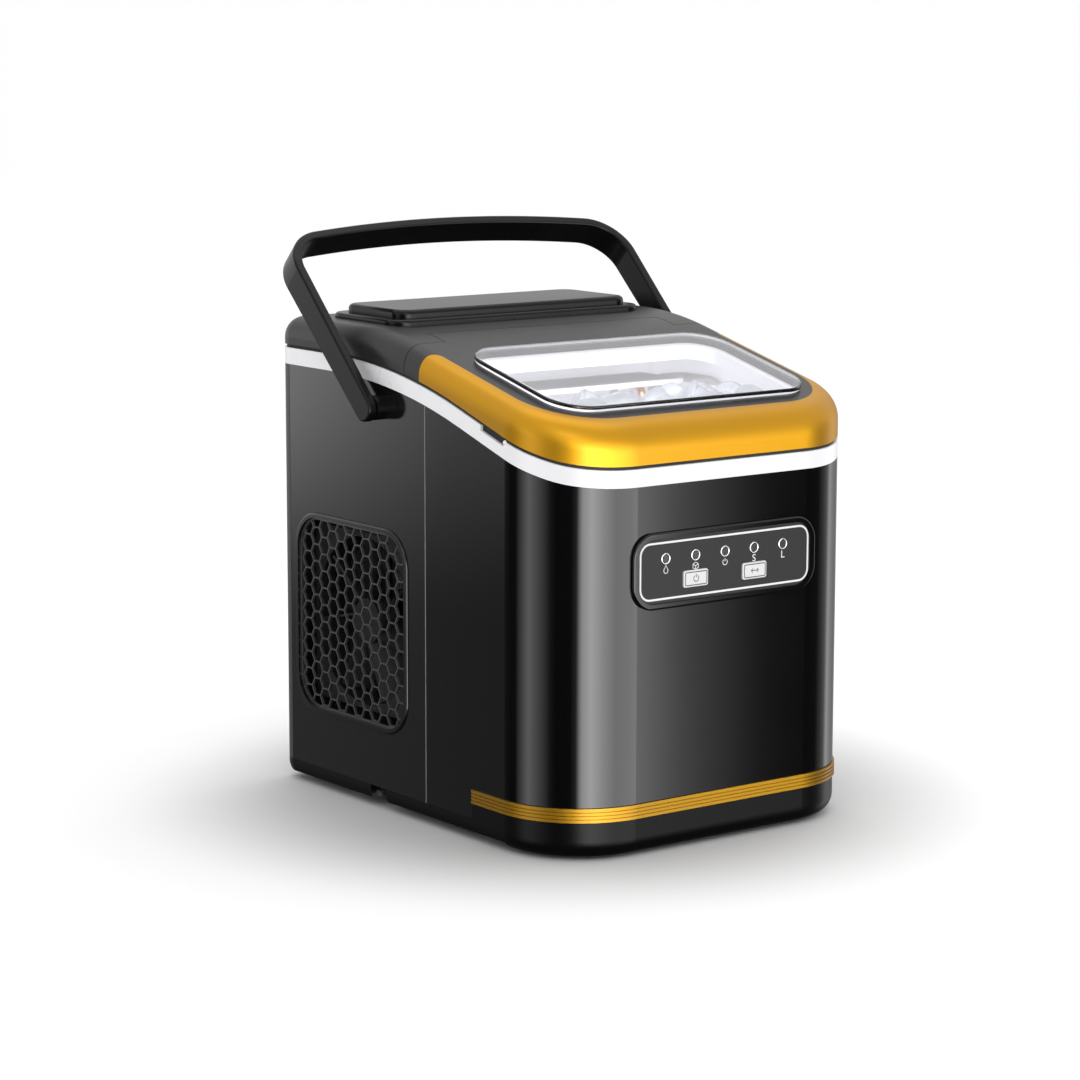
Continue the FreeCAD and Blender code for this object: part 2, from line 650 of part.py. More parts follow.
def make_handle():
    foot, grip = size("handle_foot_wide") / 2, size("handle_grip_wide") / 2
    outer = strap_outline(0).extrude(Vector(0, 40, 0))
    inner = strap_outline(size("handle_strap")).extrude(Vector(0, 40, 0))
    strap = outer.cut(inner)
    strap.translate(Vector(0, -20, 0))
    side = [Vector(-FAR, -foot, 0), Vector(-FAR, -grip, 105), Vector(-FAR, -grip, 200),
            Vector(-FAR, grip, 200), Vector(-FAR, grip, 105), Vector(-FAR, foot, 0)]
    edges = [Part.LineSegment(a, b).toShape() for a, b in zip(side, side[1:])]
    edges.append(Part.Arc(side[-1], Vector(-FAR, 0, -foot), side[0]).toShape())
    strap = strap.common(closed_face(edges).extrude(Vector(2 * FAR, 0, 0)))
    long_edges = [e for e in strap.Edges if e.Length > 15]
    strap = strap.makeFillet(1.2, long_edges)
    inner_face = size("handle_half") - size("handle_strap")
    for end in (-1, 1):
        start = Vector(end * (inner_face - 0.1), 0, 0)
        bore = Part.makeCylinder(size("pivot_pin_radius") + 0.06, 3.8, start, X * end)
        strap = strap.cut(bore)
    lean = Rotation(X, -size("handle_lean"))
    feature("carry_handle", strap, Placement(Vector(0, size("pivot_y"), size("pivot_z")), lean))

    for end, name in ((-1, "left"), (1, "right")):
        base = (end * (HALF_WIDTH - 6), size("pivot_y"), size("pivot_z"))
        shaft = cylinder(f"pivot_shaft_{name}", base, X * end, "Sizes.pivot_pin_radius",
                         "Sizes.handle_half - Sizes.handle_strap - Sizes.body_width / 2 + 9.5")
        face = (end * HALF_WIDTH, size("pivot_y"), size("pivot_z"))
        boss = cylinder(f"pivot_boss_{name}", face, X * end, "Sizes.boss_radius",
                        "Sizes.handle_half - Sizes.handle_strap - Sizes.body_width / 2 - 0.5")
        joined(f"handle_pivot_{name}", [shaft, boss])
        panel = pieces[f"{name}_side_panel"]
        panel.Shape = panel.Shape.cut(Part.makeCylinder(size("pivot_pin_radius") + 0.1, 20,
                                                        Vector(*base), X * end))


# ---------------------------------------------------------------- control panel

def make_control_panel():
    rim, sunk, proud = "Sizes.bezel_rim", "Sizes.bezel_sunk", "Sizes.bezel_proud"
    back = -HALF_DEPTH + size("bezel_sunk")
    at = (size("panel_x"), back, size("panel_z"))
    bezel = new_body("panel_bezel", at)
    outline = new_sketch(bezel, "XZ_Plane", "bezel_outline")
    rounded_rectangle(outline, "Sizes.bezel_wide", "Sizes.bezel_tall", "Sizes.bezel_radius")
    pad(bezel, outline, f"{sunk} + {proud}")
    deep = size("bezel_sunk") + size("bezel_proud")
    round_edges(bezel, "1.2", lambda point: point.y < -deep + 0.01)
    opening = new_sketch(bezel, "XZ_Plane", "bezel_opening")
    rounded_rectangle(opening, f"Sizes.bezel_wide - 2 * {rim}", f"Sizes.bezel_tall - 2 * {rim}",
                      f"Sizes.bezel_radius - {rim}")
    pocket(bezel, opening, "20", reverse=True)

    overlay = new_body("panel_overlay", at)
    plate = new_sketch(overlay, "XZ_Plane", "overlay_outline")
    rounded_rectangle(plate, f"Sizes.bezel_wide - 2 * {rim} - 0.2", f"Sizes.bezel_tall - 2 * {rim} - 0.2",
                      f"Sizes.bezel_radius - {rim} - 0.1")
    pad(overlay, plate, "Sizes.overlay_thick")
    holes = new_sketch(overlay, "XZ_Plane", "overlay_holes")
    for step in range(-2, 3):
        circle(holes, "Sizes.lens_radius + 0.05", f"{step} * Sizes.lens_pitch - 0.4",
               "Sizes.lens_z - Sizes.panel_z")
    for side in (-1, 1):
        rounded_rectangle(holes, "Sizes.button_wide + 2 * Sizes.button_gap",
                          "Sizes.button_tall + 2 * Sizes.button_gap", "1.6",
                          f"{side} * Sizes.button_x - 0.4", "Sizes.button_z - Sizes.panel_z")
    pocket(overlay, holes, "20", reverse=True)

    lenses = []
    for step in range(-2, 3):
        base = (step * size("lens_pitch"), back + 4.5, size("lens_z"))
        lenses.append(cylinder(f"lens_{len(lenses)}", base, -Y, "Sizes.lens_radius", "7.4"))
    grouped("indicator_lenses", lenses)

    for side, name in ((-1, "on_off_button"), (1, "select_button")):
        button = new_body(name, (side * size("button_x"), back + 1.3, size("button_z")))
        cap = new_sketch(button, "XZ_Plane", "cap_outline")
        rounded_rectangle(cap, "Sizes.button_wide", "Sizes.button_tall", "1.4")
        pad(button, cap, "4.6")
        round_edges(button, "0.6", lambda point: point.y < -4.59)
        stem = new_sketch(button, "XZ_Plane", "stem")
        circle(stem, "2")
        pad(button, stem, "0.9", reverse=True)

    board = new_body("control_board", (size("panel_x"), back + 6.9, size("panel_z")))
    blank = new_sketch(board, "XZ_Plane", "board_outline")
    rounded_rectangle(blank, "132", "34", "2")
    pad(board, blank, "1.6")
    switches = new_sketch(board, "XZ_Plane", "switches")
    for side in (-1, 1):
        rounded_rectangle(switches, "6", "6", "0.5", f"{side} * Sizes.button_x - 0.4",
                          "Sizes.button_z - Sizes.panel_z")
    pad(board, switches, "3.5")


# ---------------------------------------------------------------- liner, basket and ice mechanism

def make_tub():
    half, front, rear = size("tub_half"), size("tub_front"), size("tub_rear")
    floor, bay, bay_front = size("tub_floor"), size("bay_floor"), size("bay_front")
    wall, radius = size("wall"), size("tub_radius")
    outside = rounded_block(half, front, rear, floor, 300, radius, 8)
    outside = outside.cut(slab(bay_front, FAR, 0, bay))
    inside = rounded_block(half - wall, front + wall, rear - wall, floor + wall, 301, radius - wall, 5.5)
    inside = inside.cut(slab(bay_front - wall, FAR, 0, bay + wall))
    flange = body_block(-4.2, 150, 330).common(below_rim(-0.1)).cut(below_rim(-3))
    flange = flange.common(slab(-FAR, rear + 4))
    tub = outside.common(below_rim(-0.1)).fuse(flange).cut(inside)
    for side in (-1, 1):
        x_low, x_high = sorted((side * (half - wall + 0.5), side * (size("basket_half") - 5)))
        ledge_top = size("basket_floor") - 0.1
        tub = tub.fuse(slab(-85, -42, ledge_top - 5.9, ledge_top, x_low, x_high))
    for x in (size("suction_x"), size("capillary_x")):
        start = Vector(x, rear - 10, size("pipe_high"))
        tub = tub.cut(Part.makeCylinder(size("pipe_hole_radius"), 20, start, Y))
    tub = tub.cut(Part.makeCylinder(3, 10, Vector(-80, -22, floor - 3), Z))
    feature("inner_tub", tub.removeSplitter())


def make_basket():
    half, front, rear = size("basket_half"), size("basket_front"), size("basket_rear")
    floor, wall, radius = size("basket_floor"), size("basket_wall"), size("basket_radius")
    basket = rounded_block(half, front, rear, floor, 300, radius, 8)
    basket = basket.cut(rounded_block(half - wall, front + wall, rear - wall, floor + wall, 301,
                                      radius - wall, 6))
    basket = basket.common(below_rim(-8))
    basket = basket.cut(slab(rear - 6, rear + 2, 178, FAR, -76, 76))
    for step in range(-4, 5):
        slot = slab(front + 24, rear - 18, floor - 1, floor + wall + 1, 16 * step - 2, 16 * step + 2)
        basket = basket.cut(slot)
    feature("ice_basket", basket)


def make_mechanism():
    """Cold fingers over a tilting water tray, in a frame at the rear of the liner."""
    y, z, half = size("axis_y"), size("axis_z"), size("trough_half")
    frame_low, frame_top = z - 10, z + 35

    plates = []
    for side in (-1, 1):
        x_low, x_high = sorted((side * (half + 2), side * (half + 5)))
        plate = slab(y - 9, y + 9, frame_low, frame_top, x_low, x_high)
        plates.append(plate.cut(Part.makeCylinder(size("pivot_pin_radius") + 0.06, 20,
                                                  Vector(side * half, y, z), X * side)))
    top = slab(y - 20, y + 20, frame_top - 3, frame_top, -half - 5, half + 5)
    posts = [slab(y - 4, y + 4, size("finger_bar") + 9, frame_top - 1, x - 4, x + 4) for x in (-45, 45)]
    feature("mechanism_frame", top.multiFuse(plates + posts).removeSplitter())

    bar = slab(y - 5.5, y + 5.5, size("finger_bar"), size("finger_bar") + 9, -66, 66)
    fingers = []
    for step in range(-4, 5):
        base = Vector(step * size("finger_pitch"), y, size("finger_low"))
        tall = size("finger_bar") - size("finger_low") + 1
        finger = Part.makeCylinder(size("finger_radius"), tall, base, Z)
        fingers.append(finger.makeFillet(3, [e for e in finger.Edges if e.BoundBox.ZMax < base.z + 0.01]))
    feature("evaporator", bar.multiFuse(fingers).removeSplitter())

    radius, wall = size("trough_radius"), size("trough_wall")
    drum = Part.makeCylinder(radius, 2 * half, Vector(-half, 0, 0), X)
    drum = drum.cut(Part.makeCylinder(radius - wall, 2 * half - 2 * wall, Vector(-half + wall, 0, 0), X))
    open_at = -radius * math.cos(math.radians(75))
    drum = drum.cut(slab(-FAR, FAR, open_at, FAR, -half + wall, half - wall))
    drum = drum.cut(slab(-FAR, FAR, 8, FAR))
    pins = Part.makeCylinder(size("pivot_pin_radius"), 2 * half + 9.6, Vector(-half - 4.8, 0, 0), X)
    pins = pins.cut(slab(-FAR, FAR, x_low=-half + wall, x_high=half - wall))
    feature("water_tray", drum.fuse(pins).removeSplitter(), Placement(Vector(0, y, z), Rotation()))

    cylinder_motor = cylinder("motor_can", (half + 5.3, y, z), X, "14", "16")
    keep("tray_motor", cylinder_motor)

    flap = new_body("ice_shovel", (0, size("flap_y"), size("flap_z")))
    blade = new_sketch(flap, "XZ_Plane", "blade")
    rounded_rectangle(blade, "2 * Sizes.flap_half", "Sizes.flap_length", "4", "0",
                      "-Sizes.flap_length / 2 - 1")
    pad(flap, blade, "1.6")
    rod = new_sketch(flap, "YZ_Plane", "rod")
    circle(rod, "2.2")
    rod_pad = pad(flap, rod, "2 * (Sizes.tub_half - Sizes.wall) - 1")
    rod_pad.Midplane = True


def make_water_parts():
    floor = size("tub_floor") + size("wall")
    can = cylinder("pump_can", (70, -95, floor + 0.2), Z, "13", "26")
    outlet = cylinder("pump_outlet", (70, -84, floor + 19), Y, "3", "6")
    joined("water_pump", [can, outlet])
    wall_x, high = 92.5, 238
    hose = ((70, -78, floor + 19), (70, -46, floor + 19), (wall_x, -33, 96), (wall_x, -33, high),
            (wall_x, 10.5, high), (77.2, 10.5, high))
    feature("water_hose", tube_along(hose, 2.8))

    sensor = bound("Part::Box", "sensor_block", (size("tub_half") - size("wall") - 5, -22, 150),
                   Length="4.9", Width="11", Height="20")
    keep("ice_full_sensor", sensor)

    y, z = size("drain_y"), size("drain_z")
    spout = cylinder("spout_run", (-104, y, z), X, "Sizes.spout_radius", "14")
    riser = cylinder("spout_riser", (-92, y, z), Z, "Sizes.spout_radius", "19")
    bulk = document.addObject("Part::MultiFuse", "spout_bulk")
    bulk.Shapes = [spout, riser]
    bore = cylinder("spout_bore", (-105, y, z), X, "Sizes.drain_bore", "13")
    rise = cylinder("spout_rise", (-92, y, z), Z, "Sizes.drain_bore", "22")
    bored("drain_spout", bulk, [bore, rise])
    route = ((-92, y, z + 19.2), (-92, y, 40), (-80, -22, 40), (-80, -22, size("tub_floor") - 0.2))
    feature("drain_hose", tube_along(route, 3.4))

    plug = new_body("drain_plug", (-104.2, y, z))
    flange = new_sketch(plug, "YZ_Plane", "flange")
    circle(flange, "Sizes.spout_radius + 0.4")
    pad(plug, flange, "2", reverse=True)
    stem = new_sketch(plug, "YZ_Plane", "stem")
    circle(stem, "Sizes.drain_bore - 0.05")
    pad(plug, stem, "8.5")
    tab = new_sketch(plug, "XY_Plane", "tab")
    rounded_rectangle(tab, "5", "4", "1", "-4.3", "0")
    tab_pad = pad(plug, tab, "3")
    tab_pad.Midplane = True


# ---------------------------------------------------------------- cooling unit and electrics

def make_fan():
    y, z, x, radius = size("fan_y"), size("fan_z"), size("fan_x"), size("fan_radius")
    hub = size("fan_hub")
    blades = []
    for step in range(int(size("fan_blades"))):
        blade = Part.makeBox(size("blade_long"), 1.6, radius - hub + 2,
                             Vector(-size("blade_long") / 2, -0.8, hub - 2))
        blade.rotate(Vector(), Z, size("blade_pitch"))
        blade = blade.common(Part.makeCylinder(radius, 40, Vector(-20, 0, 0), X))
        blade.rotate(Vector(), X, 360 * step / size("fan_blades"))
        blades.append(blade)
    middle = Part.makeCylinder(hub, 15, Vector(-7.5, 0, 0), X)
    rotor = middle.multiFuse(blades).cut(Part.makeCylinder(2.06, 13, Vector(-3, 0, 0), X))
    feature("fan_rotor", rotor.removeSplitter(), Placement(Vector(x, y, z), Rotation()))

    half, face = size("shroud_half"), x + size("fan_deep") / 2
    ring = slab(y - half, y + half, z - half, z + half, face - size("fan_deep"), face)
    ring = ring.cut(Part.makeCylinder(radius + 1.5, 40, Vector(x - 20, y, z), X))
    arms = [slab(y - 2, y + 2, z - half, z + half, face + 0.2, face + 3),
            slab(y - half, y + half, z - 2, z + 2, face + 0.2, face + 3)]
    edge = half - 1
    rails = [slab(y + end * edge - 1, y + end * edge + 1, z - half, z + half, face - 1, face + 3)
             for end in (-1, 1)]
    bars = [slab(y - half, y + half, z + end * edge - 1, z + end * edge + 1, face - 1, face + 3)
            for end in (-1, 1)]
    feature("fan_shroud", ring.multiFuse(arms + rails + bars).removeSplitter())

    can = cylinder("fan_can", (x + 12, y, z), X, "16", "11")
    shaft = cylinder("fan_shaft", (x - 2, y, z), X, "2", "15")
    spacer = pieces["fan_shroud"]
    spacer.Shape = spacer.Shape.cut(Part.makeCylinder(2.2, 20, Vector(x, y, z), X))
    joined("fan_motor", [can, shaft])


def make_cooling():
    middle, low, high = size("condenser_x"), size("condenser_low"), size("condenser_high")
    pitch, rows = size("fin_pitch"), size("row_pitch")
    fins = []
    for step in range(25):
        y = 12 + pitch * step
        fins.append(slab(y, y + 0.6, low, high, middle - 10, middle + 10))
    tubes = [Part.makeCylinder(3, 100, Vector(middle, 10, low + 8 + rows * row), Y) for row in range(7)]
    feature("condenser", tubes[0].multiFuse(tubes[1:] + fins).removeSplitter())

    x, y = size("compressor_x"), size("compressor_y")
    foot = size("base_floor") + size("base_plate") + 4
    body = bound("Part::Cylinder", "compressor_can", (x, y, foot + 2), Radius="Sizes.compressor_radius",
                 Height="Sizes.compressor_tall")
    domed = document.addObject("Part::Fillet", "compressor_dome")
    domed.Base = body
    document.recompute()
    rims = [(index, 14, 14) for index, edge in enumerate(body.Shape.Edges, 1) if len(edge.Vertexes) == 1]
    domed.Edges = rims
    plate = bound("Part::Box", "compressor_plate", (x - 40, y - 38, foot), Length="80", Width="76",
                  Height="3")
    joined("compressor", [domed, plate])
    mounts = []
    for dx in (-34, 34):
        for dy in (-32, 32):
            mounts.append(cylinder(f"grommet_{len(mounts)}", (x + dx, y + dy, foot - 4), Z, "6", "3.9"))
    grouped("compressor_mounts", mounts)

    top = foot + 2.05 + size("compressor_tall")
    bar_y, bar_top = size("axis_y"), size("finger_bar") + 9
    suction, capillary, high = size("suction_x"), size("capillary_x"), size("pipe_high")
    coil_low, coil_high = size("condenser_low") + 8, size("condenser_low") + 95.5
    pipes = {
        "discharge_pipe": (((30, 84, top), (30, 84, top + 24), (middle, 84, top + 24),
                            (middle, 84, coil_high)), 2.5),
        "suction_pipe": (((suction, 84, top), (suction, 84, high), (suction, bar_y, high),
                          (suction, bar_y, bar_top)), 2.5),
        "liquid_line": (((middle, 110, coil_low), (middle, 120, coil_low), (capillary, 120, coil_low),
                         (capillary, 120, 69.9)), 2.2),
        "capillary_tube": (((capillary, 120, 118.1), (capillary, 120, high), (capillary, bar_y, high),
                            (capillary, bar_y, bar_top)), 1.4),
    }
    for name, (route, radius) in pipes.items():
        feature(name, tube_along(route, radius))
    dryer = bound("Part::Cylinder", "drier_can", (capillary, 120, 70), Radius="8", Height="48")
    keep("filter_drier", dryer)


def make_electrics():
    board = bound("Part::Box", "board_plate", (-96, 126, 180), Length="62", Width="1.6", Height="62")
    parts = [board]
    for x, z, wide, deep, tall in ((-90, 186, 24, 18, 22), (-60, 190, 14, 14, 14), (-60, 214, 18, 10, 20)):
        parts.append(bound("Part::Box", f"board_part_{len(parts)}", (x, 126 - deep, z),
                           Length=wide, Width=deep + 0.1, Height=tall))
    joined("power_board", parts)

    x, z = size("gland_x"), size("gland_z")
    flange = cylinder("gland_flange", (x, HALF_DEPTH, z), Y, "Sizes.gland_radius", "Sizes.gland_proud")
    sleeve = cylinder("gland_sleeve", (x, HALF_DEPTH - 8, z), Y, "Sizes.gland_radius - 3", "9")
    bulk = document.addObject("Part::MultiFuse", "gland_bulk")
    bulk.Shapes = [flange, sleeve]
    bore = cylinder("gland_hole", (x, HALF_DEPTH - 20, z), Y, "Sizes.gland_bore", "40")
    bored("cord_gland", bulk, [bore])


make_base()
make_base_trim()
make_shells()
make_band()
make_vents()
make_top()
make_window()
make_mechanism_cover()
make_handle()
make_control_panel()
make_tub()
make_basket()
make_mechanism()
make_water_parts()
make_fan()
make_cooling()
make_electrics()
document.recompute()

# ---------------------------------------------------------------- checks and export

for item in document.Objects:
    if "Invalid" in item.State or "Error" in item.State:
        raise RuntimeError(f"{item.Label} failed: {item.State}")
os.makedirs("parts", exist_ok=True)
for name, item in pieces.items():
    shape = item.Shape
    if shape.isNull() or not shape.isValid():
        raise RuntimeError(f"{name} has no valid shape")
    box = shape.BoundBox
    print(f"{name:22s} solids {len(shape.Solids)}  x {box.XMin:7.1f} {box.XMax:7.1f}  "
          f"y {box.YMin:7.1f} {box.YMax:7.1f}  z {box.ZMin:6.1f} {box.ZMax:6.1f}  "
          f"{shape.Volume / 1000:8.2f} cm3")
    shape.exportStep(f"parts/{name}.step")
print(len(pieces), "sub-parts")
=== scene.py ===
# %% [markdown]
# # A countertop ice maker, finished in Blender
# The mechanical model is already made, at its real size in metres. This lesson keeps every one of its
# parts where it is, gives each a believable finish, and adds the small things that mould tools and
# printers add: the clear window, the panel's printing, the lamps' rings, the screws and the ice.

# %% Load the frame
import bpy
import json
import math
import random
from mathutils import Matrix, Vector


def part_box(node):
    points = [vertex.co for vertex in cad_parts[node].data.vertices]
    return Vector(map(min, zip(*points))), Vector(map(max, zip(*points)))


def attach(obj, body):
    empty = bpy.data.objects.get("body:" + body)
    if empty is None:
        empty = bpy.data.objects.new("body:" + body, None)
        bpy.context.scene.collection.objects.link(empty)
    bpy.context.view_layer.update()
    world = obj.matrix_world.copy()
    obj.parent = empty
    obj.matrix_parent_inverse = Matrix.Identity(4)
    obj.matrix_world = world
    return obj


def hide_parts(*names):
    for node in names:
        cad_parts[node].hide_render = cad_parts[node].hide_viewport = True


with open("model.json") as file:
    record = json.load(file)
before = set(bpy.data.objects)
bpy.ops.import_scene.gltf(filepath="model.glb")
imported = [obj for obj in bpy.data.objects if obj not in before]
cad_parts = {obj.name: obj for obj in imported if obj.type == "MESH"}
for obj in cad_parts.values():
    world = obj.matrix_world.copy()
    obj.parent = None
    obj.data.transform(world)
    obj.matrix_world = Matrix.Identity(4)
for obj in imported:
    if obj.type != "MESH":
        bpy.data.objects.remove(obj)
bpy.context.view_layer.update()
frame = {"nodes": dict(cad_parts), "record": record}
MM = 0.001

# %% [markdown]
# ## The view
# A product is usually shown from a little above, with a long lens, so that upright edges stay upright. We
# build the camera's three axes from two angles instead of aiming by hand, because axes can't drift when
# the scene changes.

# %% Camera
VIEW_TURN = math.radians(-36.9)
VIEW_RISE = math.radians(9.41)
VIEW_ROLL = math.radians(0.10)
CAMERA_PLACE = Vector((-1.1487, -1.5025, 0.4642))

back = Vector((math.sin(VIEW_TURN) * math.cos(VIEW_RISE), -math.cos(VIEW_TURN) * math.cos(VIEW_RISE),
               math.sin(VIEW_RISE)))
right = (-back).cross(Vector((0, 0, 1))).normalized()
up = right.cross(-back)
turn = Matrix((right, up, back)).transposed() @ Matrix.Rotation(VIEW_ROLL, 3, "Z")
camera_data = bpy.data.cameras.new("camera")
camera_data.lens = 110.03
camera_data.sensor_width = 36
camera = bpy.data.objects.new("camera", camera_data)
camera.matrix_world = Matrix.Translation(CAMERA_PLACE) @ turn.to_4x4()
bpy.context.scene.collection.objects.link(camera)
bpy.context.scene.camera = camera

# %% [markdown]
# ## Small tools for modelling
# Operators act on whatever is selected, so each helper starts from a clean selection. Every piece is left
# with its object at the origin and its place in its mesh, as the mechanical parts have, so patterns stay
# put.

# %% Modelling helpers


def clear_selection():
    if bpy.context.object and bpy.context.object.mode != "OBJECT":
        bpy.ops.object.mode_set(mode="OBJECT")
    bpy.ops.object.select_all(action="DESELECT")


def pick(piece):
    clear_selection()
    piece.select_set(True)
    bpy.context.view_layer.objects.active = piece
    return piece


def settle(piece):
    """Move a piece's place, turn and size into its mesh."""
    pick(piece)
    bpy.ops.object.transform_apply(location=True, rotation=True, scale=True)
    return piece


def apply_modifier(piece, kind, **settings):
    pick(piece)
    modifier = piece.modifiers.new(kind.lower(), kind)
    for key, value in settings.items():
        setattr(modifier, key, value)
    bpy.ops.object.modifier_apply(modifier=modifier.name)


def join(name, parts):
    pick(parts[0])
    for part in parts[1:]:
        part.select_set(True)
    if len(parts) > 1:
        bpy.ops.object.join()
    parts[0].name = name
    return parts[0]


def copy_of(piece):
    """A copy with its own mesh."""
    copy = piece.copy()
    copy.data = piece.data.copy()
    bpy.context.scene.collection.objects.link(copy)
    return copy


def smooth(piece, angle=35):
    pick(piece)
    bpy.ops.object.shade_smooth_by_angle(angle=math.radians(angle))
    return piece


def select_faces(piece, wanted):
    """Choose faces by a test on their centre and normal, then go into edit mode."""
    pick(piece)
    bpy.ops.object.mode_set(mode="EDIT")
    bpy.ops.mesh.select_mode(type="FACE")
    bpy.ops.mesh.select_all(action="DESELECT")
    bpy.ops.object.mode_set(mode="OBJECT")
    for face in piece.data.polygons:
        face.select = wanted(face)
    bpy.ops.object.mode_set(mode="EDIT")


def finished(piece, body, material, replaced=()):
    """Material, body and slot of a finished piece."""
    piece.data.materials.clear()
    piece.data.materials.append(material)
    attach(piece, body)
    if replaced:
        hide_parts(*replaced)
    print(piece.name, len(piece.data.polygons), "faces, rides on", body)
    return piece


# %% [markdown]
# A rounded plate is the start of the window, the printed border and the buttons' frames. A plane is
# scaled, its four corners are bevelled as vertices, and the face is then extruded. That gives round
# corners with few faces.

# %% Rounded plates


def rounded_sheet(name, wide, tall, radius, segments):
    """A flat sheet in XY with round corners, left in edit mode with everything selected."""
    clear_selection()
    bpy.ops.mesh.primitive_plane_add(size=1)
    sheet = bpy.context.object
    sheet.name = name
    sheet.scale = (wide, tall, 1)
    settle(sheet)
    bpy.ops.object.mode_set(mode="EDIT")
    bpy.ops.mesh.select_all(action="SELECT")
    bpy.ops.mesh.bevel(offset=radius, segments=segments, affect="VERTICES", offset_type="OFFSET")
    bpy.ops.mesh.select_all(action="SELECT")
    return sheet


def thicken(sheet, thick):
    """Extrude a sheet upwards and leave edit mode with every face turned outwards."""
    bpy.ops.mesh.select_all(action="SELECT")
    bpy.ops.mesh.extrude_region_move(TRANSFORM_OT_translate={"value": (0, 0, thick)})
    bpy.ops.mesh.select_all(action="SELECT")
    bpy.ops.mesh.normals_make_consistent(inside=False)
    bpy.ops.object.mode_set(mode="OBJECT")
    return sheet


def rounded_plate(name, wide, tall, radius, thick, segments=8):
    """A plate lying in XY, its lower face at z = 0."""
    return thicken(rounded_sheet(name, wide, tall, radius, segments), thick)


def rounded_frame(name, wide, tall, radius, line, thick, segments=8):
    """A flat frame lying in XY: a rounded outline with a rounded opening."""
    sheet = rounded_sheet(name, wide, tall, radius, segments)
    bpy.ops.mesh.inset(thickness=line, depth=0)
    bpy.ops.mesh.delete(type="FACE")
    return thicken(sheet, thick)


def stand_on_front(piece, x, y, z):
    """Turn a piece made in XY to face the front, -Y, and move it to its place."""
    piece.rotation_euler = (math.radians(90), 0, 0)
    piece.location = (x, y, z)
    return settle(piece)


# %% [markdown]
# ## Shared effects
# Moulded plastic is never one even colour: the mould's texture, the flow of the melt and handling change
# its gloss by small amounts, and drawn metal has fine streaks. Four node groups hold these effects, and
# each material places them with its own values.

# %% Shader node groups


def new_group(name, inputs, outputs):
    group = bpy.data.node_groups.new(name, "ShaderNodeTree")
    for label, kind, value in inputs:
        socket = group.interface.new_socket(name=label, in_out="INPUT", socket_type=kind)
        socket.default_value = value
    for label, kind in outputs:
        group.interface.new_socket(name=label, in_out="OUTPUT", socket_type=kind)
    return group, group.nodes.new("NodeGroupInput"), group.nodes.new("NodeGroupOutput")


def noise(tree, scale=1.0, detail=3.0, rough=0.5):
    node = tree.nodes.new("ShaderNodeTexNoise")
    node.inputs["Scale"].default_value = scale
    node.inputs["Detail"].default_value = detail
    node.inputs["Roughness"].default_value = rough
    return node


def math_node(tree, operation, first=None, second=None):
    node = tree.nodes.new("ShaderNodeMath")
    node.operation = operation
    for index, value in enumerate((first, second)):
        if isinstance(value, (int, float)):
            node.inputs[index].default_value = value
        elif value is not None:
            tree.links.new(value, node.inputs[index])
    return node.outputs[0]


def make_grain_group():
    """Fine height texture of a spark-eroded mould."""
    group, ins, outs = new_group("mould_grain", [("Scale", "NodeSocketFloat", 1800.0)],
                                 [("Height", "NodeSocketFloat")])
    place = group.nodes.new("ShaderNodeTexCoord")
    texture = noise(group, 1800, 2, 0.6)
    group.links.new(place.outputs["Object"], texture.inputs["Vector"])
    group.links.new(ins.outputs["Scale"], texture.inputs["Scale"])
    group.links.new(texture.outputs["Fac"], outs.inputs["Height"])
    return group


def make_gloss_group():
    """Roughness that wanders softly, with faint smears from handling."""
    group, ins, outs = new_group("handled_gloss", [
        ("Roughness", "NodeSocketFloat", 0.2), ("Spread", "NodeSocketFloat", 0.05),
        ("Scale", "NodeSocketFloat", 18.0)], [("Roughness", "NodeSocketFloat")])
    place = group.nodes.new("ShaderNodeTexCoord")
    cloud = noise(group, 18, 4, 0.55)
    group.links.new(place.outputs["Object"], cloud.inputs["Vector"])
    group.links.new(ins.outputs["Scale"], cloud.inputs["Scale"])
    centred = math_node(group, "SUBTRACT", cloud.outputs["Fac"], 0.5)
    moved = math_node(group, "MULTIPLY", centred, ins.outputs["Spread"])
    total = math_node(group, "ADD", moved, ins.outputs["Roughness"])
    group.links.new(total, outs.inputs["Roughness"])
    return group


def make_tint_group():
    """A colour that shifts a little in value over the part."""
    group, ins, outs = new_group("melt_tint", [
        ("Color", "NodeSocketColor", (0.5, 0.5, 0.5, 1)), ("Shift", "NodeSocketFloat", 0.1),
        ("Scale", "NodeSocketFloat", 9.0)], [("Color", "NodeSocketColor")])
    place = group.nodes.new("ShaderNodeTexCoord")
    cloud = noise(group, 9, 3, 0.5)
    group.links.new(place.outputs["Object"], cloud.inputs["Vector"])
    group.links.new(ins.outputs["Scale"], cloud.inputs["Scale"])
    centred = math_node(group, "SUBTRACT", cloud.outputs["Fac"], 0.5)
    amount = math_node(group, "MULTIPLY", centred, ins.outputs["Shift"])
    factor = math_node(group, "ADD", amount, 1.0)
    tint = group.nodes.new("ShaderNodeVectorMath")
    tint.operation = "SCALE"
    group.links.new(ins.outputs["Color"], tint.inputs[0])
    group.links.new(factor, tint.inputs["Scale"])
    group.links.new(tint.outputs[0], outs.inputs["Color"])
    return group


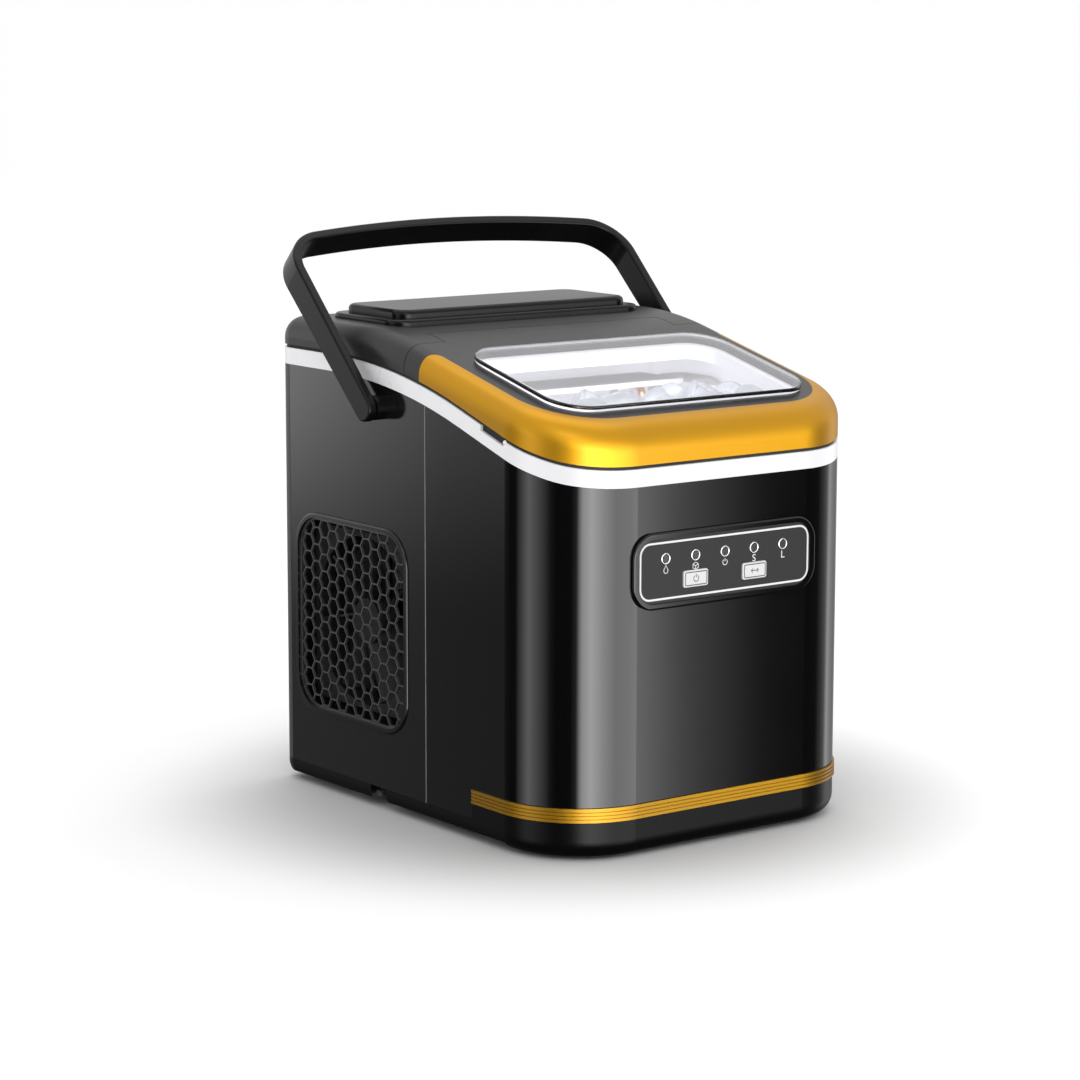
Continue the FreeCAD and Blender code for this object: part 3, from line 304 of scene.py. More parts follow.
def make_brush_group():
    """Fine parallel streaks of drawn or brushed metal, along X."""
    group, ins, outs = new_group("brush_streaks", [
        ("Roughness", "NodeSocketFloat", 0.3), ("Spread", "NodeSocketFloat", 0.2)],
        [("Roughness", "NodeSocketFloat"), ("Height", "NodeSocketFloat")])
    place = group.nodes.new("ShaderNodeTexCoord")
    stretch = group.nodes.new("ShaderNodeMapping")
    stretch.inputs["Scale"].default_value = (20, 900, 900)
    streak = noise(group, 1, 3, 0.6)
    group.links.new(place.outputs["Object"], stretch.inputs["Vector"])
    group.links.new(stretch.outputs["Vector"], streak.inputs["Vector"])
    centred = math_node(group, "SUBTRACT", streak.outputs["Fac"], 0.5)
    moved = math_node(group, "MULTIPLY", centred, ins.outputs["Spread"])
    total = math_node(group, "ADD", moved, ins.outputs["Roughness"])
    group.links.new(total, outs.inputs["Roughness"])
    group.links.new(streak.outputs["Fac"], outs.inputs["Height"])
    return group


GRAIN = make_grain_group()
GLOSS = make_gloss_group()
TINT = make_tint_group()
BRUSH = make_brush_group()

# %% [markdown]
# ## Finishes
# One recipe makes all the moulded, painted and rubber finishes. What is the same all over the surface,
# such as the coat or the metal share, is set on the shader itself. What changes over the surface comes
# through the groups.

# %% Finish recipe


def new_material(name):
    material = bpy.data.materials.new(name)
    material.use_nodes = True
    return material, material.node_tree, material.node_tree.nodes["Principled BSDF"]


def place_group(tree, group, **values):
    node = tree.nodes.new("ShaderNodeGroup")
    node.node_tree = group
    for key, value in values.items():
        node.inputs[key].default_value = value
    return node


def bump(tree, shader, height, depth):
    node = tree.nodes.new("ShaderNodeBump")
    node.inputs["Strength"].default_value = 1
    node.inputs["Distance"].default_value = depth
    tree.links.new(height, node.inputs["Height"])
    tree.links.new(node.outputs["Normal"], shader.inputs["Normal"])


def finish(name, color, rough, spread=0.05, shift=0.08, grain=1800.0, depth=0.0, cloud=18.0, **shader_values):
    """A moulded or painted surface; depth is the grain's height in metres."""
    material, tree, shader = new_material(name)
    for key, value in shader_values.items():
        shader.inputs[key.replace("_", " ")].default_value = value
    tint = place_group(tree, TINT, Color=(*color, 1), Shift=shift)
    gloss = place_group(tree, GLOSS, Roughness=rough, Spread=spread, Scale=cloud)
    tree.links.new(tint.outputs["Color"], shader.inputs["Base Color"])
    tree.links.new(gloss.outputs["Roughness"], shader.inputs["Roughness"])
    if depth:
        texture = place_group(tree, GRAIN, Scale=grain)
        bump(tree, shader, texture.outputs["Height"], depth)
    return material


def metal(name, color, rough, spread, depth=0.000004):
    """Bare or plated metal with fine streaks."""
    material, tree, shader = new_material(name)
    shader.inputs["Metallic"].default_value = 1
    tint = place_group(tree, TINT, Color=(*color, 1), Shift=0.12, Scale=30)
    streaks = place_group(tree, BRUSH, Roughness=rough, Spread=spread)
    tree.links.new(tint.outputs["Color"], shader.inputs["Base Color"])
    tree.links.new(streaks.outputs["Roughness"], shader.inputs["Roughness"])
    bump(tree, shader, streaks.outputs["Height"], depth)
    return material


# %% [markdown]
# The shell is polished ABS: nearly black, with a sharp clear reflection. The lid and the rear housing come
# from a textured mould, so they look grey wherever light falls on them at a low angle. The band is a
# bright white moulding, and the film on the panel has a fine tooth.

# %% The machine's finishes
GLOW = 0.33  # a little emission stands in for light that bounces many times inside a white bucket
FINISHES = {
    "gloss_black": finish("polished_black", (0.0025, 0.0025, 0.003), 0.055, 0.03),
    "side_black": finish("side_black", (0.005, 0.005, 0.0055), 0.1, 0.03),
    "base_black": finish("base_black", (0.003, 0.003, 0.0035), 0.28, 0.04, Specular_IOR_Level=0.12),
    "band_white": finish("band_white", (0.86, 0.86, 0.88), 0.28, 0.06, 0.03),
    "satin_black": finish("textured_black", (0.012, 0.012, 0.013), 0.36, 0.06, 0.1, 2600.0, 0.000008),
    "liner_white": finish("liner_white", (0.84, 0.85, 0.9), 0.3, 0.08, 0.03, Emission_Strength=GLOW),
    "basket_white": finish("basket_white", (0.83, 0.84, 0.9), 0.26, 0.08, 0.03, Emission_Strength=GLOW),
    "overlay_grey": finish("panel_film", (0.012, 0.012, 0.013), 0.34, 0.05, 0.05, 3200.0, 0.000004,
                          Specular_IOR_Level=0.3),
    "button_white": finish("button_plate", (0.72, 0.72, 0.73), 0.32, 0.05, 0.04),
    "gasket": finish("gasket_rubber", (0.008, 0.008, 0.008), 0.65, 0.1, 0.1, 1400.0, 0.00002),
    "foot_rubber": finish("foot_rubber", (0.015, 0.015, 0.015), 0.7, 0.1, 0.15, 1200.0, 0.00003),
    "grille_black": finish("grille_black", (0.045, 0.045, 0.047), 0.3, 0.06, 0.08),
    "can_black": finish("painted_steel", (0.01, 0.01, 0.01), 0.34, 0.1, 0.12, 900.0, 0.00002),
    "board_green": finish("board_lacquer", (0.01, 0.08, 0.03), 0.3, 0.1, 0.2, 700.0, 0.00002),
    "inner_plastic": finish("inner_plastic", (0.78, 0.78, 0.81), 0.45, 0.08, 0.06, 1600.0, 0.00001),
    "silicone": finish("silicone", (0.62, 0.62, 0.63), 0.38, 0.1, 0.05, Subsurface_Weight=0.15),
    "steel": metal("bright_steel", (0.6, 0.6, 0.62), 0.28, 0.2),
    "cold_steel": metal("plated_fingers", (0.78, 0.79, 0.81), 0.2, 0.16),
    "copper": metal("copper_pipe", (0.85, 0.42, 0.26), 0.3, 0.2),
    "aluminium": metal("fin_aluminium", (0.75, 0.76, 0.77), 0.36, 0.2),
}

# %% [markdown]
# Metallic lacquer holds tiny flakes that each catch the light at their own angle. A fine cell pattern
# nudges the normal a little from flake to flake. From arm's length the flakes merge and only widen the
# highlight.

# %% Gold lacquer


def gold_lacquer(name, color):
    material, tree, shader = new_material(name)
    shader.inputs["Metallic"].default_value = 0.95
    shader.inputs["Coat Weight"].default_value = 0.12
    shader.inputs["Coat Roughness"].default_value = 0.12
    tint = place_group(tree, TINT, Color=(*color, 1), Shift=0.08, Scale=12)
    gloss = place_group(tree, GLOSS, Roughness=0.44, Spread=0.06, Scale=22)
    flakes = tree.nodes.new("ShaderNodeTexVoronoi")
    flakes.inputs["Scale"].default_value = 3800
    place = tree.nodes.new("ShaderNodeTexCoord")
    tree.links.new(place.outputs["Object"], flakes.inputs["Vector"])
    tree.links.new(tint.outputs["Color"], shader.inputs["Base Color"])
    tree.links.new(gloss.outputs["Roughness"], shader.inputs["Roughness"])
    bump(tree, shader, flakes.outputs["Distance"], 0.000006)
    return material


FINISHES["gold"] = gold_lacquer("gold_lacquer", (0.60, 0.30, 0.012))

# %% [markdown]
# Clear plastic and ice are both see-through, but ice is cloudy: air freezes into its middle. The window
# therefore keeps a low roughness and a faint violet tint, and the ice gets a rougher surface with milky
# patches.

# %% Clear materials
SHADOW_PASS = 0.94  # share of the light on its way to other parts that a clear part lets through


def clear_material(name, color, rough, spread, ior, weight=1.0, ripple=0.0):
    material, tree, shader = new_material(name)
    shader.inputs["Transmission Weight"].default_value = weight
    shader.inputs["IOR"].default_value = ior
    tint = place_group(tree, TINT, Color=(*color, 1), Shift=0.04)
    gloss = place_group(tree, GLOSS, Roughness=rough, Spread=spread, Scale=60)
    tree.links.new(tint.outputs["Color"], shader.inputs["Base Color"])
    tree.links.new(gloss.outputs["Roughness"], shader.inputs["Roughness"])
    ray = tree.nodes.new("ShaderNodeLightPath")
    soft = math_node(tree, "MAXIMUM", ray.outputs["Is Shadow Ray"], ray.outputs["Is Diffuse Ray"])
    passed = math_node(tree, "MULTIPLY", soft, -SHADOW_PASS)
    solid = math_node(tree, "ADD", passed, 1.0)
    tree.links.new(solid, shader.inputs["Alpha"])
    if ripple:
        texture = place_group(tree, GRAIN, Scale=160)
        bump(tree, shader, texture.outputs["Height"], ripple)
    return material


FINISHES["clear_window"] = clear_material("clear_window", (0.95, 0.95, 1.0), 0.02, 0.01, 1.49)
FINISHES["lens"] = clear_material("lamp_lens", (0.05, 0.05, 0.055), 0.15, 0.04, 1.5, 0.3)
ICE = clear_material("ice", (0.94, 0.97, 1.0), 0.12, 0.12, 1.31, 0.8, 0.0006)

# %% [markdown]
# Some parts share a slot with others but not their look. The handle and the cover behind the lid are a
# deeper black and the fan's duct is dull. The strip near the foot gets a darker copy of the trim's gold:
# painted shade.
# The liner is white inside. The outer skin of its side walls stands in the dark inside the cabinet, so it
# is painted near black as shade and gets none of the glow. A mask made from the distance to the
# machine's middle plane tells the two apart.

# %% Finishes of single parts
HANDLE_BLACK = finish("handle_black", (0.004, 0.004, 0.0045), 0.27, 0.06, 0.1, Specular_IOR_Level=0.2)
COVER_BLACK = finish("cover_black", (0.004, 0.004, 0.0045), 0.24, 0.05, 0.1, Specular_IOR_Level=0.2)
DUCT_BLACK = finish("duct_black", (0.002, 0.002, 0.002), 0.6, 0.05, 0.2)
TUB_SKIN = 98.5 * MM  # farther than this from the middle plane, the liner's skin is painted near black as shade


def tub_finish():
    """White inside; the outer skin of the side walls is painted near black as shade and doesn't glow."""
    material = finish("tub_liner", (0.84, 0.85, 0.9), 0.3, 0.08, 0.03, Emission_Strength=GLOW)
    tree = material.node_tree
    shader = tree.nodes["Principled BSDF"]
    place = tree.nodes.new("ShaderNodeTexCoord")
    split = tree.nodes.new("ShaderNodeSeparateXYZ")
    tree.links.new(place.outputs["Object"], split.inputs[0])
    across = math_node(tree, "ABSOLUTE", split.outputs["X"])
    inside = math_node(tree, "LESS_THAN", across, TUB_SKIN)
    # the mask mixes painted shade, near black, into the outer skin of the side walls
    skin = tree.nodes.new("ShaderNodeMix")
    skin.data_type = "RGBA"
    skin.inputs["A"].default_value = (0.004, 0.004, 0.004, 1)
    tree.links.new(inside, skin.inputs["Factor"])
    tree.links.new(shader.inputs["Base Color"].links[0].from_socket, skin.inputs["B"])
    tree.links.new(skin.outputs["Result"], shader.inputs["Base Color"])
    tree.links.new(inside, shader.inputs["Emission Color"])
    return material


OWN_FINISH = {"inner_tub": tub_finish(), "carry_handle": HANDLE_BLACK, "handle_pivot_left": HANDLE_BLACK,
              "handle_pivot_right": HANDLE_BLACK, "mechanism_cover": COVER_BLACK,
              "fan_rotor": DUCT_BLACK, "fan_shroud": DUCT_BLACK, "fan_motor": DUCT_BLACK,
              # the foot strip's darker copy of the gold is painted shade
              "base_trim": gold_lacquer("strip_gold_painted_shade", (0.38, 0.2, 0.012))}
for row in frame["record"]["subparts"]:
    node = frame["nodes"][row["node"]]
    for entry in node.material_slots:
        entry.material = OWN_FINISH.get(row["node"], FINISHES[row["material_slot"]])
print("finishes:", len(FINISHES))

# %% [markdown]
# ## The window in the lid
# The real window is one clear moulding: a shallow tray turned upside down, with a thick round rim that
# stands on the lid. We extrude a rounded plate, inset its underside and press the middle up, which leaves
# a thin pane with a rim, and then bevel the edges. Only the rim and the bevels bend the light much, as on
# the real part.

# %% Window moulding
LID_SLOPE = math.atan(0.243)
LID_LEVEL = 0.2695
WINDOW_Y = -0.06475
WINDOW_WIDE, WINDOW_LONG, WINDOW_ROUND = 178 * MM, 101.4 * MM, 22 * MM
RIM_WIDE, RIM_TALL, PANE = 2.3 * MM, 3.7 * MM, 1.5 * MM
EDGE_ROUND, LID_GAP = 1.0 * MM, 0.05 * MM


def lay_on_lid(piece, lift=0.0):
    """Turn a piece made in XY to the lid's slope and centre it on the window."""
    middle = Vector((0, WINDOW_Y, LID_LEVEL + math.tan(LID_SLOPE) * WINDOW_Y))
    raised = Matrix.Rotation(LID_SLOPE, 3, "X") @ Vector((0, 0, lift))
    piece.rotation_euler = (LID_SLOPE, 0, 0)
    piece.location = middle + raised
    return settle(piece)


window = rounded_plate("window_pane", WINDOW_WIDE, WINDOW_LONG, WINDOW_ROUND, RIM_TALL, 12)
select_faces(window, lambda face: face.normal.z < -0.9)
bpy.ops.mesh.inset(thickness=RIM_WIDE)
bpy.ops.transform.translate(value=(0, 0, RIM_TALL - PANE))
bpy.ops.object.mode_set(mode="OBJECT")
apply_modifier(window, "BEVEL", width=EDGE_ROUND, segments=4, limit_method="ANGLE",
               angle_limit=math.radians(50))
lay_on_lid(window, LID_GAP)
smooth(window, 50)
apply_modifier(window, "WEIGHTED_NORMAL", weight=100, keep_sharp=True)
finished(window, "lid", FINISHES["clear_window"], ["lid_window"])

# %% [markdown]
# ## The ice
# The machine freezes ice round cold fingers, so each piece is a short thimble with a hollow where the
# finger was. One thimble is modelled: a cylinder whose top is inset and pushed down, then smoothed.
# Spheres of the same size are settled in the basket by a small gravity loop, and each copy takes a
# sphere's place and a random turn.

# %% One ice bullet
BULLET_RADIUS, BULLET_LONG = 10.5 * MM, 24 * MM
RIM_OF_ICE, HOLLOW_DEEP, HOLLOW_TAPER = 4.5 * MM, 14 * MM, 0.7
NOSE_INSET, NOSE_LONG = 3 * MM, 2.5 * MM


def model_bullet():
    clear_selection()
    bpy.ops.mesh.primitive_cylinder_add(vertices=12, radius=BULLET_RADIUS, depth=BULLET_LONG)
    bullet = bpy.context.object
    bullet.name = "ice_bullet"
    select_faces(bullet, lambda face: face.normal.z > 0.9)
    bpy.ops.mesh.inset(thickness=RIM_OF_ICE)
    bpy.ops.mesh.extrude_region_move(TRANSFORM_OT_translate={"value": (0, 0, -HOLLOW_DEEP)})
    bpy.ops.transform.resize(value=(HOLLOW_TAPER, HOLLOW_TAPER, HOLLOW_TAPER))
    bpy.ops.object.mode_set(mode="OBJECT")
    select_faces(bullet, lambda face: face.normal.z < -0.9)
    bpy.ops.mesh.inset(thickness=NOSE_INSET)
    bpy.ops.transform.translate(value=(0, 0, -NOSE_LONG))
    bpy.ops.object.mode_set(mode="OBJECT")
    apply_modifier(bullet, "SUBSURF", levels=2, render_levels=2)
    return smooth(bullet, 60)


bullet = model_bullet()
print("bullet faces:", len(bullet.data.polygons))

# %% Settle the heap in the basket
random.seed(12)
BALL = 12.2 * MM
basket_low, basket_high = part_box("ice_basket")
BASKET_WALL, REAR_ROOM = 3 * MM, 15 * MM
low_corner = basket_low + Vector((BASKET_WALL, BASKET_WALL, BASKET_WALL))
high_corner = Vector((basket_high.x - BASKET_WALL, basket_high.y - REAR_ROOM, 1))
corner_round = 28 * MM
PANE_CLEAR, FRAME_CLEAR = 9 * MM, 25 * MM
PANE_HALF, PANE_FRONT, PANE_REAR = 66 * MM, -96 * MM, -33 * MM
SHOVEL_LOW, SHOVEL_FRONT = 168 * MM, -51 * MM
FIRST_X, FIRST_DEEP = -66 * MM, 13 * MM
STEP_X, STEP_DEEP, STEP_UP = 26.4 * MM, 23.5 * MM, 21 * MM
FALL, TOUCHING, SETTLE_STEPS = 0.35 * MM, 1.9 * BALL, 90
balls = []
for layer in range(10):
    for across in range(6):
        for deep in range(3):
            spread = Vector((random.uniform(-3, 3), random.uniform(-3, 3), random.uniform(-2, 2))) * MM
            balls.append(Vector((FIRST_X + STEP_X * across, low_corner.y + FIRST_DEEP + STEP_DEEP * deep,
                                 low_corner.z + BALL + STEP_UP * layer)) + spread)


def heap_top(ball):
    """Highest level of the ice at a ball's place: lower under the lid's frame than under the pane."""
    under_frame = abs(ball.x) > PANE_HALF or not PANE_FRONT < ball.y < PANE_REAR
    clear = FRAME_CLEAR if under_frame else PANE_CLEAR
    return LID_LEVEL + math.tan(LID_SLOPE) * ball.y - clear


def keep_inside(ball):
    """Hold a ball inside the basket's rounded box, under the lid and clear of the shovel's swing."""
    ball.x = min(max(ball.x, low_corner.x + BALL), high_corner.x - BALL)
    ball.y = min(max(ball.y, low_corner.y + BALL), high_corner.y - BALL)
    if ball.z > SHOVEL_LOW:
        ball.y = min(ball.y, SHOVEL_FRONT - BALL)
    ball.z = min(max(ball.z, low_corner.z + BALL), heap_top(ball) - BALL)
    centre = Vector((math.copysign(high_corner.x - corner_round, ball.x), low_corner.y + corner_round))
    if abs(ball.x) > abs(centre.x) and ball.y < centre.y:
        out = Vector((ball.x, ball.y)) - centre
        if out.length > corner_round - BALL:
            out = centre + out.normalized() * (corner_round - BALL)
            ball.x, ball.y = out


for step in range(SETTLE_STEPS):
    for ball in balls:
        ball.z -= FALL
    for first in range(len(balls)):
        for second in range(first + 1, len(balls)):
            apart = balls[second] - balls[first]
            gap = TOUCHING - apart.length
            if gap > 0:
                push = apart.normalized() * gap * 0.5
                balls[first] -= push
                balls[second] += push
    for ball in balls:
        keep_inside(ball)

ice_pieces = []
for ball in balls:
    turned = Matrix.Rotation(random.uniform(0, 6.28), 4, "Z")
    tipped = Matrix.Rotation(random.uniform(0.4, 2.6), 4, "X")
    piece = copy_of(bullet)
    piece.matrix_world = Matrix.Translation(ball) @ (turned @ tipped)
    ice_pieces.append(piece)
bpy.data.objects.remove(bullet)
ice_pieces.sort(key=lambda piece: piece.matrix_world.translation.z)
half = len(ice_pieces) // 2
for name, share in (("ice_low", ice_pieces[:half]), ("ice_top", ice_pieces[half:])):
    heap = join(name, share)
    settle(heap)
    finished(heap, "basket", ICE)
    print(name, "pieces:", len(share), "top:", round(max(v.co.z for v in heap.data.vertices), 4))

# %% [markdown]
# ## The control panel's printing
# The film is printed with a thin silver border, five lamp symbols and two key symbols. Ink has almost no
# height, but a thin solid catches the light as ink does and never flickers against the film. Strokes are
# drawn as short curves with a round section and turned to meshes, because a curve keeps its width round
# every bend.

# %% Inks and the border
SILVER_INK = finish("silver_ink", (0.82, 0.82, 0.83), 0.35, 0.06, 0.04)
FRAME_INK = finish("frame_ink", (0.05, 0.05, 0.052), 0.4, 0.06, 0.05)
DARK_INK = finish("dark_ink", (0.03, 0.03, 0.03), 0.4, 0.06, 0.05)
CHROME = metal("lamp_chrome", (0.82, 0.82, 0.84), 0.14, 0.08)

film_low, film_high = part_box("panel_overlay")
film_face = film_low.y
film_x = (film_low.x + film_high.x) / 2
film_z = (film_low.z + film_high.z) / 2
INK_TALL = 0.12 * MM
BORDER_WIDE, BORDER_TALL, BORDER_ROUND, BORDER_LINE = 120.2 * MM, 31.8 * MM, 7 * MM, 1.1 * MM

border = rounded_frame("panel_border", BORDER_WIDE, BORDER_TALL, BORDER_ROUND, BORDER_LINE, INK_TALL)
stand_on_front(border, film_x, film_face, film_z)
finished(border, "cabinet", SILVER_INK)

# %% [markdown]
# A lamp on such a panel is a small clear dome in a bright ring. Each ring is a torus squashed on the
# film.

# %% Lamp rings
RING_ROUND, RING_THICK, RING_FLAT = 2.75 * MM, 0.45 * MM, 0.8
lens_low, lens_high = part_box("indicator_lenses")
lens_z = (lens_low.z + lens_high.z) / 2
lens_radius = (lens_high.z - lens_low.z) / 2
lens_pitch = (lens_high.x - lens_low.x - 2 * lens_radius) / 4
lamp_places = [lens_low.x + lens_radius + lens_pitch * step for step in range(5)]

rings = []
for place in lamp_places:
    clear_selection()
    bpy.ops.mesh.primitive_torus_add(major_radius=RING_ROUND, minor_radius=RING_THICK,
                                     major_segments=32, minor_segments=10)
    ring = bpy.context.object
    ring.scale.z = RING_FLAT
    settle(ring)
    rings.append(stand_on_front(ring, place, film_face, lens_z))
lamp_rings = join("lamp_rings", rings)
smooth(lamp_rings, 60)
finished(lamp_rings, "cabinet", CHROME)

# %% [markdown]
# Plain icons stand under the lamps: a drop for water, a cube for ice and a ring with a bar for power. The
# last two lamps have the size letters S and L, which are extruded text.

# %% Symbols


def arc_points(radius, start, end, steps=14, x=0.0, z=0.0):
    """Points on an arc, in millimetres, with angles in degrees."""
    angles = [math.radians(start + (end - start) * step / steps) for step in range(steps + 1)]
    return [(x + radius * math.cos(a), z + radius * math.sin(a)) for a in angles]


def draw_strokes(name, strokes, x, y, z, width, closed=False):
    """Strokes in millimetres, drawn round a point of the panel and made a mesh."""
    data = bpy.data.curves.new(name, "CURVE")
    data.dimensions = "3D"
    data.bevel_depth = width * MM / 2
    data.bevel_resolution = 1
    data.use_fill_caps = True
    for stroke in strokes:
        spline = data.splines.new("POLY")
        spline.points.add(len(stroke) - 1)
        for point, (across, rise) in zip(spline.points, stroke):
            point.co = (x + across * MM, y, z + rise * MM, 1)
        spline.use_cyclic_u = closed
    drawn = bpy.data.objects.new(name, data)
    bpy.context.scene.collection.objects.link(drawn)
    pick(drawn)
    bpy.ops.object.convert(target="MESH")
    return bpy.context.object


def letter(name, text, x, y, z, tall):
    """A size letter, extruded a hair and turned to face the front."""
    clear_selection()
    bpy.ops.object.text_add()
    shape = bpy.context.object
    shape.name = name
    shape.data.body = text
    shape.data.size = tall
    shape.data.align_x = "CENTER"
    shape.data.align_y = "CENTER"
    shape.data.extrude = INK_TALL / 2
    bpy.ops.object.convert(target="MESH")
    return stand_on_front(bpy.context.object, x, y - INK_TALL / 2, z)


DROP = arc_points(1.45, -215, 35, z=-0.6) + [(0, 2.5), (-1.19, 0.23)]
CUBE = [[(-1.9, -1.0), (0, -2.0), (1.9, -1.0), (1.9, 1.0), (0, 2.0), (-1.9, 1.0), (-1.9, -1.0)],
        [(-1.9, 1.0), (0, 0), (1.9, 1.0)], [(0, 0), (0, -2.0)]]
POWER = [arc_points(1.6, 125, 415), [(0, 0.4), (0, 2.2)]]
STROKE = 0.5
LETTER_TALL = 5.8 * MM
symbol_z = lens_z - 6.0 * MM
symbols = [
    draw_strokes("drop", [DROP], lamp_places[0], film_face, symbol_z, STROKE),
    draw_strokes("cube", CUBE, lamp_places[1], film_face, symbol_z, STROKE),
    draw_strokes("power", POWER, lamp_places[2], film_face, symbol_z, STROKE),
    letter("small", "S", lamp_places[3], film_face, symbol_z, LETTER_TALL),
    letter("large", "L", lamp_places[4], film_face, symbol_z, LETTER_TALL),
]
panel_symbols = join("panel_symbols", symbols)
finished(panel_symbols, "cabinet", SILVER_INK)

# %% [markdown]
# Each key is a white plate with a printed frame and one symbol. They ride on their own key's body, so
# they travel with it when it is pressed.

# %% Key printing
KEYS = {
    "on_off": ("on_off_button", [[(p[0] * 1.1, p[1] * 1.1) for p in stroke] for stroke in POWER]),
    "select": ("select_button", [[(-2.6, 0), (2.6, 0)], [(-1.5, 1.1), (-2.6, 0), (-1.5, -1.1)],
                                 [(1.5, 1.1), (2.6, 0), (1.5, -1.1)]]),
}
KEY_MARGIN, KEY_ROUND, KEY_LINE, SYMBOL_SUNK = 1.8 * MM, 1.0 * MM, 0.5 * MM, 0.1 * MM
for body, (node, strokes) in KEYS.items():
    key_low, key_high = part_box(node)
    key_x, key_z = (key_low.x + key_high.x) / 2, (key_low.z + key_high.z) / 2
    key_frame = rounded_frame(f"{body}_key_frame", key_high.x - key_low.x - KEY_MARGIN,
                              key_high.z - key_low.z - KEY_MARGIN, KEY_ROUND, KEY_LINE, INK_TALL)
    stand_on_front(key_frame, key_x, key_low.y + INK_TALL / 2, key_z)
    finished(key_frame, body, FRAME_INK)
    symbol = draw_strokes(f"{body}_key_symbol", strokes, key_x, key_low.y + SYMBOL_SUNK, key_z, STROKE)
    finished(symbol, body, DARK_INK)

# %% [markdown]
# ## Screws
# A plain disc reads as a rivet. A real screw head is domed and has a cross recess, so one head is
# modelled with a boolean cut and copied to each place on the back.

# %% Screw heads
screw_low, screw_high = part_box("back_screws")
SCREW_ROUND, HEAD_TALL = 3.2 * MM, 1.2 * MM
SCREW_LEVELS = (30 * MM, 140 * MM, 238 * MM)


def model_screw():
    clear_selection()
    bpy.ops.mesh.primitive_cylinder_add(vertices=32, radius=SCREW_ROUND, depth=HEAD_TALL,
                                        location=(0, 0, HEAD_TALL / 2))
    head = settle(bpy.context.object)
    apply_modifier(head, "BEVEL", width=0.5 * MM, segments=3, limit_method="ANGLE")
    bars = []
    for size in ((3.6, 0.8, 1.6), (0.8, 3.6, 1.6)):
        bpy.ops.mesh.primitive_cube_add(size=MM, location=(0, 0, HEAD_TALL))
        bar = bpy.context.object
        bar.scale = size
        bars.append(settle(bar))
    for bar in bars:
        apply_modifier(head, "BOOLEAN", object=bar, operation="DIFFERENCE", solver="EXACT")
        bpy.data.objects.remove(bar)
    return smooth(head, 40)


screw = model_screw()
heads = []
for x in (screw_low.x + SCREW_ROUND, screw_high.x - SCREW_ROUND):
    for z in SCREW_LEVELS:
        head = copy_of(screw)
        head.rotation_euler = (math.radians(-90), 0, 0)
        head.location = (x, screw_low.y, z)
        heads.append(head)
bpy.data.objects.remove(screw)
back_screws = join("back_screw_heads", heads)
settle(back_screws)
finished(back_screws, "cabinet", FINISHES["steel"], ["back_screws"])

# %% [markdown]
# ## The seams' bright edges
# Where two glossy panels meet, the rounded edge of each catches the light as a hairline. The panels are
# modelled with plain edges, so a fine bead is laid along each seam, just proud of the skin. The bead is
# painted grey: a painted highlight for that hairline.

# %% Seam beads
panel_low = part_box("left_side_panel")[0]
SEAM_TOP, BEAD_ROUND = 239 * MM, 0.28 * MM
beads = []
for side in (-1, 1):
    clear_selection()
    bpy.ops.mesh.primitive_cylinder_add(vertices=12, radius=BEAD_ROUND, depth=SEAM_TOP - panel_low.z)
    bead = bpy.context.object
    bead.location = (side * abs(panel_low.x), panel_low.y, (SEAM_TOP + panel_low.z) / 2)
    beads.append(settle(bead))
seam_highlight_beads = smooth(join("seam_highlight_beads", beads))
finished(seam_highlight_beads, "cabinet", finish("seam_highlight_grey", (0.16, 0.16, 0.165), 0.25, 0.05, 0.1))

# %% [markdown]
# A thin dark sheet lies inside the back panel, over only some of its slots. It is painted shade: it takes
# the place of the shaded condenser and compressor, and it stops the daylight that showed through the left
# vent from the front. The other slots are open, and the inside shows through them from behind.

# %% Shade sheet
SHADE_SHEET_WIDE, SHADE_SHEET_THICK, SHADE_SHEET_TALL = 100 * MM, 0.3 * MM, 80 * MM
SHADE_SHEET_PLACE = (-45 * MM, 136.7 * MM, 130 * MM)
clear_selection()
bpy.ops.mesh.primitive_cube_add(size=1)
shade_sheet = bpy.context.object
shade_sheet.name = "shade_sheet"
shade_sheet.scale = (SHADE_SHEET_WIDE, SHADE_SHEET_THICK, SHADE_SHEET_TALL)
shade_sheet.location = SHADE_SHEET_PLACE
settle(shade_sheet)
finished(shade_sheet, "cabinet", DUCT_BLACK)

# %% [markdown]
# A small white ball, half sunk in the side, stands at the front end of each finger notch in the band. It
# is a painted highlight: the glint of a shiny spot there.

# %% Notch glints, painted highlights
GLINT_Y, GLINT_Z, GLINT_ROUND = -88.9 * MM, 226.5 * MM, 1.2 * MM
glint_balls = []
for side in (-1, 1):
    clear_selection()
    bpy.ops.mesh.primitive_uv_sphere_add(segments=20, ring_count=12, radius=GLINT_ROUND)
    glint_ball = bpy.context.object
    glint_ball.location = (side * (abs(panel_low.x) - 0.1 * MM), GLINT_Y, GLINT_Z)
    glint_balls.append(settle(glint_ball))
notch_glints = smooth(join("notch_glints", glint_balls), 60)
finished(notch_glints, "cabinet", FINISHES["band_white"])

# %% [markdown]
# ## Studio
# The floor is white, and close to the machine its colour fades to a light grey: a painted shadow that deepens
# the real shadow under it.
# Gloss black has no look of its own: it shows what stands round it. The floor is hidden from mirrored
# rays, so the shell shows the studio's strips all the way down.

